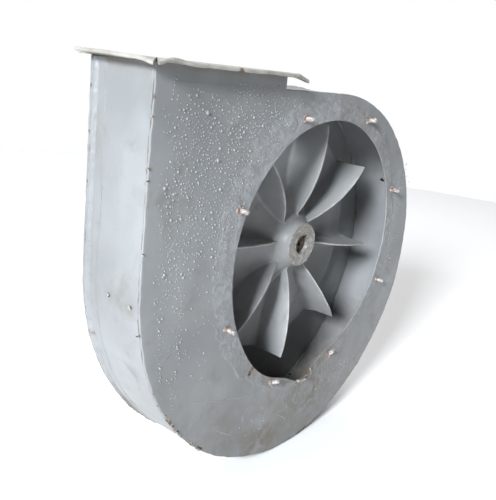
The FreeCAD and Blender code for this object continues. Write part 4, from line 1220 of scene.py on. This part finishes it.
def lump_shell(centre, radius, flat, basis, seed, rust):
    """A ball squashed along its height, with a radius that wanders by a third."""
    up = np.radians(np.linspace(-60, 75, 8))[:, None]
    round_it = full_turn(14)[None, :]
    wild = 1 + 0.35 * wander(np.cos(round_it) * np.cos(up) * 0.01, np.sin(round_it) * 0.01
                             + up * 0.004, 0.012, seed)
    local = np.stack([np.cos(up) * np.cos(round_it) * wild, np.sin(up) * wild * flat,
                      np.cos(up) * np.sin(round_it) * wild], -1) * radius
    points = np.array(centre) + local @ np.array(basis, float)
    worn = np.clip(rust + 0.4 * wander(points[..., 0], points[..., 2], 0.006, seed + 1), 0, 1)
    return shell(np.concatenate([points, worn[..., None]], -1))


lumps = [lump_shell((left_x, y * mm, z * mm), 3.4 * mm, 0.4, WALL_BASIS, 340 + i, 0.15)
         for i, (y, z) in enumerate(WALL_LUMPS)]
lump_chance = np.random.default_rng(350)
for i, degrees in enumerate(lump_chance.uniform(209, 234, 18)):
    turned = math.radians(degrees)
    x = lower_centre[0] + (lower_radius - 1 * mm) * math.cos(turned)
    z = lower_centre[1] + (lower_radius - 1 * mm) * math.sin(turned)
    size = lump_chance.uniform(1.8, 4.6) * mm
    lumps.append(lump_shell((x, lump_chance.uniform(0, 4) * mm, z), size, 0.7, FRONT_BASIS,
                            360 + i, 0.40))
for i, z in enumerate((262, 188, 171, 60, -70)):
    lumps.append(lump_shell((left_x - 0.5 * mm, 1 * mm, z * mm), 2.2 * mm, 0.8, WALL_BASIS,
                            380 + i, 0.3))
on_casing("rusty_lumps", lumps, finish=lip_paint)


def torn_lip_shell():
    """The torn strip of the rim: a bead along the knock that stands further and further forward."""
    share = np.linspace(0, 1, 40)
    angle = np.linspace(183.5, 173.2, 40)
    turned = np.radians(angle)
    sine, cosine, level = np.sin(turned), np.cos(turned), 0 * turned
    radius = inlet_radius + torn_rim(angle) + 0.5 * mm
    forward = (1.0 + 7.0 * share ** 0.7 * smooth_step(1 - share, 0, 0.12)) * mm
    x = radius * sine
    z = radius * cosine
    line = np.stack([x, -front_relief(x, z) - forward + 2 * mm, z], -1)
    out = np.stack([-sine, level - 1.2, -cosine], -1)
    out /= np.linalg.norm(out, axis=1, keepdims=True)
    side = np.stack([sine, level - 0.4, cosine], -1)
    return bead_shell(line, out, side, 5.5 * mm, 3.2 * mm, ripple=6, seed=391, rust=0.40)


on_casing("torn_lip", [torn_lip_shell()], finish=lip_paint)

# %% [markdown]
# ## Rear pieces with broken edges
#
# Turned and bought parts have small chamfers that catch the light. These pieces are copies of the
# modelled ones with their doubled points merged, flat areas joined and a narrow bevel on each edge.

# %% Bevelled copies
def broken_edges(node_name, width, body):
    """Copy a node, merge it into clean faces and bevel its sharp edges."""
    work = bmesh.new()
    work.from_mesh(frame["nodes"][node_name].data)
    bmesh.ops.remove_doubles(work, verts=work.verts, dist=0.01 * mm)
    bmesh.ops.dissolve_limit(work, angle_limit=math.radians(1), verts=work.verts, edges=work.edges)
    mesh = bpy.data.meshes.new(node_name + "_finished")
    work.to_mesh(mesh)
    work.free()
    slot_name = slot_of_node[node_name]
    thing = fastened(mesh, np.full((len(mesh.vertices), len(CHANNELS)), 0.05),
                     FINISH_OF_SLOT[slot_name], body, [node_name], 32)
    edge = thing.modifiers.new("edge", "BEVEL")
    edge.width = width
    edge.segments = 2
    edge.limit_method = "ANGLE"
    edge.angle_limit = math.radians(32)
    edge.use_clamp_overlap = True


for rear_node, bevel_width in (("reinforcing_ring", 1.0), ("bearing_housing", 1.2),
                               ("rear_bearing_cover", 0.8), ("housing_bolts", 0.5),
                               ("rear_cover_screws", 0.4), ("housing_washers", 0.3)):
    broken_edges(rear_node, bevel_width * mm, "casing")
broken_edges("wheel_shaft", 0.8 * mm, "wheel")

# %% [markdown]
# ## Floor, light and camera
#
# The blower stands over a pale floor in soft light. A lamp to the left lights the rolled side and
# the inside of the scroll. A very weak one in front lifts the darkest corners, and a third keeps the
# floor behind the blower pale. The room itself is bright behind the blower and dim elsewhere.

# %% Stage
def floor(radius=4.0):
    """A wide pale disc under the casing."""
    height = cad_box[0][2] - 2 * mm
    angle = full_turn(96)
    rim = np.stack([radius * np.cos(angle), radius * np.sin(angle), height + 0 * angle], -1)
    mesh = bpy.data.meshes.new("floor")
    mesh.from_pydata(rim.tolist(), [], [list(range(len(rim)))])
    material, tree = new_finish("pale_floor", specular=0.1)
    tone = blend_colour(tree, noise(tree, 1.5, 3), (0.90, 0.90, 0.90), (0.93, 0.93, 0.93))
    surface(tree, tone, 0.9)
    mesh.materials.append(material)
    new_object("floor", mesh)


def lamp(name, place, target, size, power, colour=(1, 1, 1)):
    """A square area light that faces a target."""
    data = bpy.data.lights.new(name, "AREA")
    data.shape = "SQUARE"
    data.size = size
    data.energy = power
    data.color = colour
    thing = new_object(name, data)
    thing.location = place
    thing.rotation_euler = (Vector(target) - Vector(place)).to_track_quat("-Z", "Y").to_euler()


def camera(eye, right, forward, lens):
    """A camera at a person's eye, left of the inlet, with the middle of its picture on the casing."""
    data = bpy.data.cameras.new("camera")
    data.lens = lens
    data.sensor_width = 36
    thing = new_object("camera", data)
    forward = Vector(forward).normalized()
    up = Vector(right).cross(forward).normalized()
    turn_to_view = Matrix((forward.cross(up), up, -forward)).transposed()
    thing.matrix_world = Matrix.Translation(eye) @ turn_to_view.to_4x4()
    bpy.context.scene.camera = thing


floor()
middle = (-0.05, 0.07, -0.05)
lamp("left_window", (-6.1, -1.75, 2.8), middle, 1.5, 1010, (0.90, 0.955, 1.0))
lamp("front_fill", (-0.6, -3.6, 1.6), middle, 3.0, 2)
lamp("back_fill", (1.6, 2.6, 4.6), (1.6, 2.4, -0.4), 5.0, 130)
camera(eye=(-1.0671, -0.6892, 0.3411), right=(0.65536, -0.74722, 0.11031),
       forward=(0.74291, 0.61132, -0.27272), lens=46.03)

world = bpy.data.worlds.new("soft_room")
world.use_nodes = True
room = world.node_tree
direction = add_node(room, "ShaderNodeTexCoord").outputs["Generated"]
away = add_node(room, "ShaderNodeVectorMath", {"operation": "DOT_PRODUCT"}, _0=direction,
                _1=(0.62, 0.78, 0.1)).outputs["Value"]
plug(room, room.nodes["Background"].inputs["Color"], (1, 1, 1, 1))
plug(room, room.nodes["Background"].inputs["Strength"], fade(room, away, 0.15, 0.5, 0.10, 1.0))
bpy.context.scene.world = world
bpy.context.scene.view_settings.view_transform = "Standard"
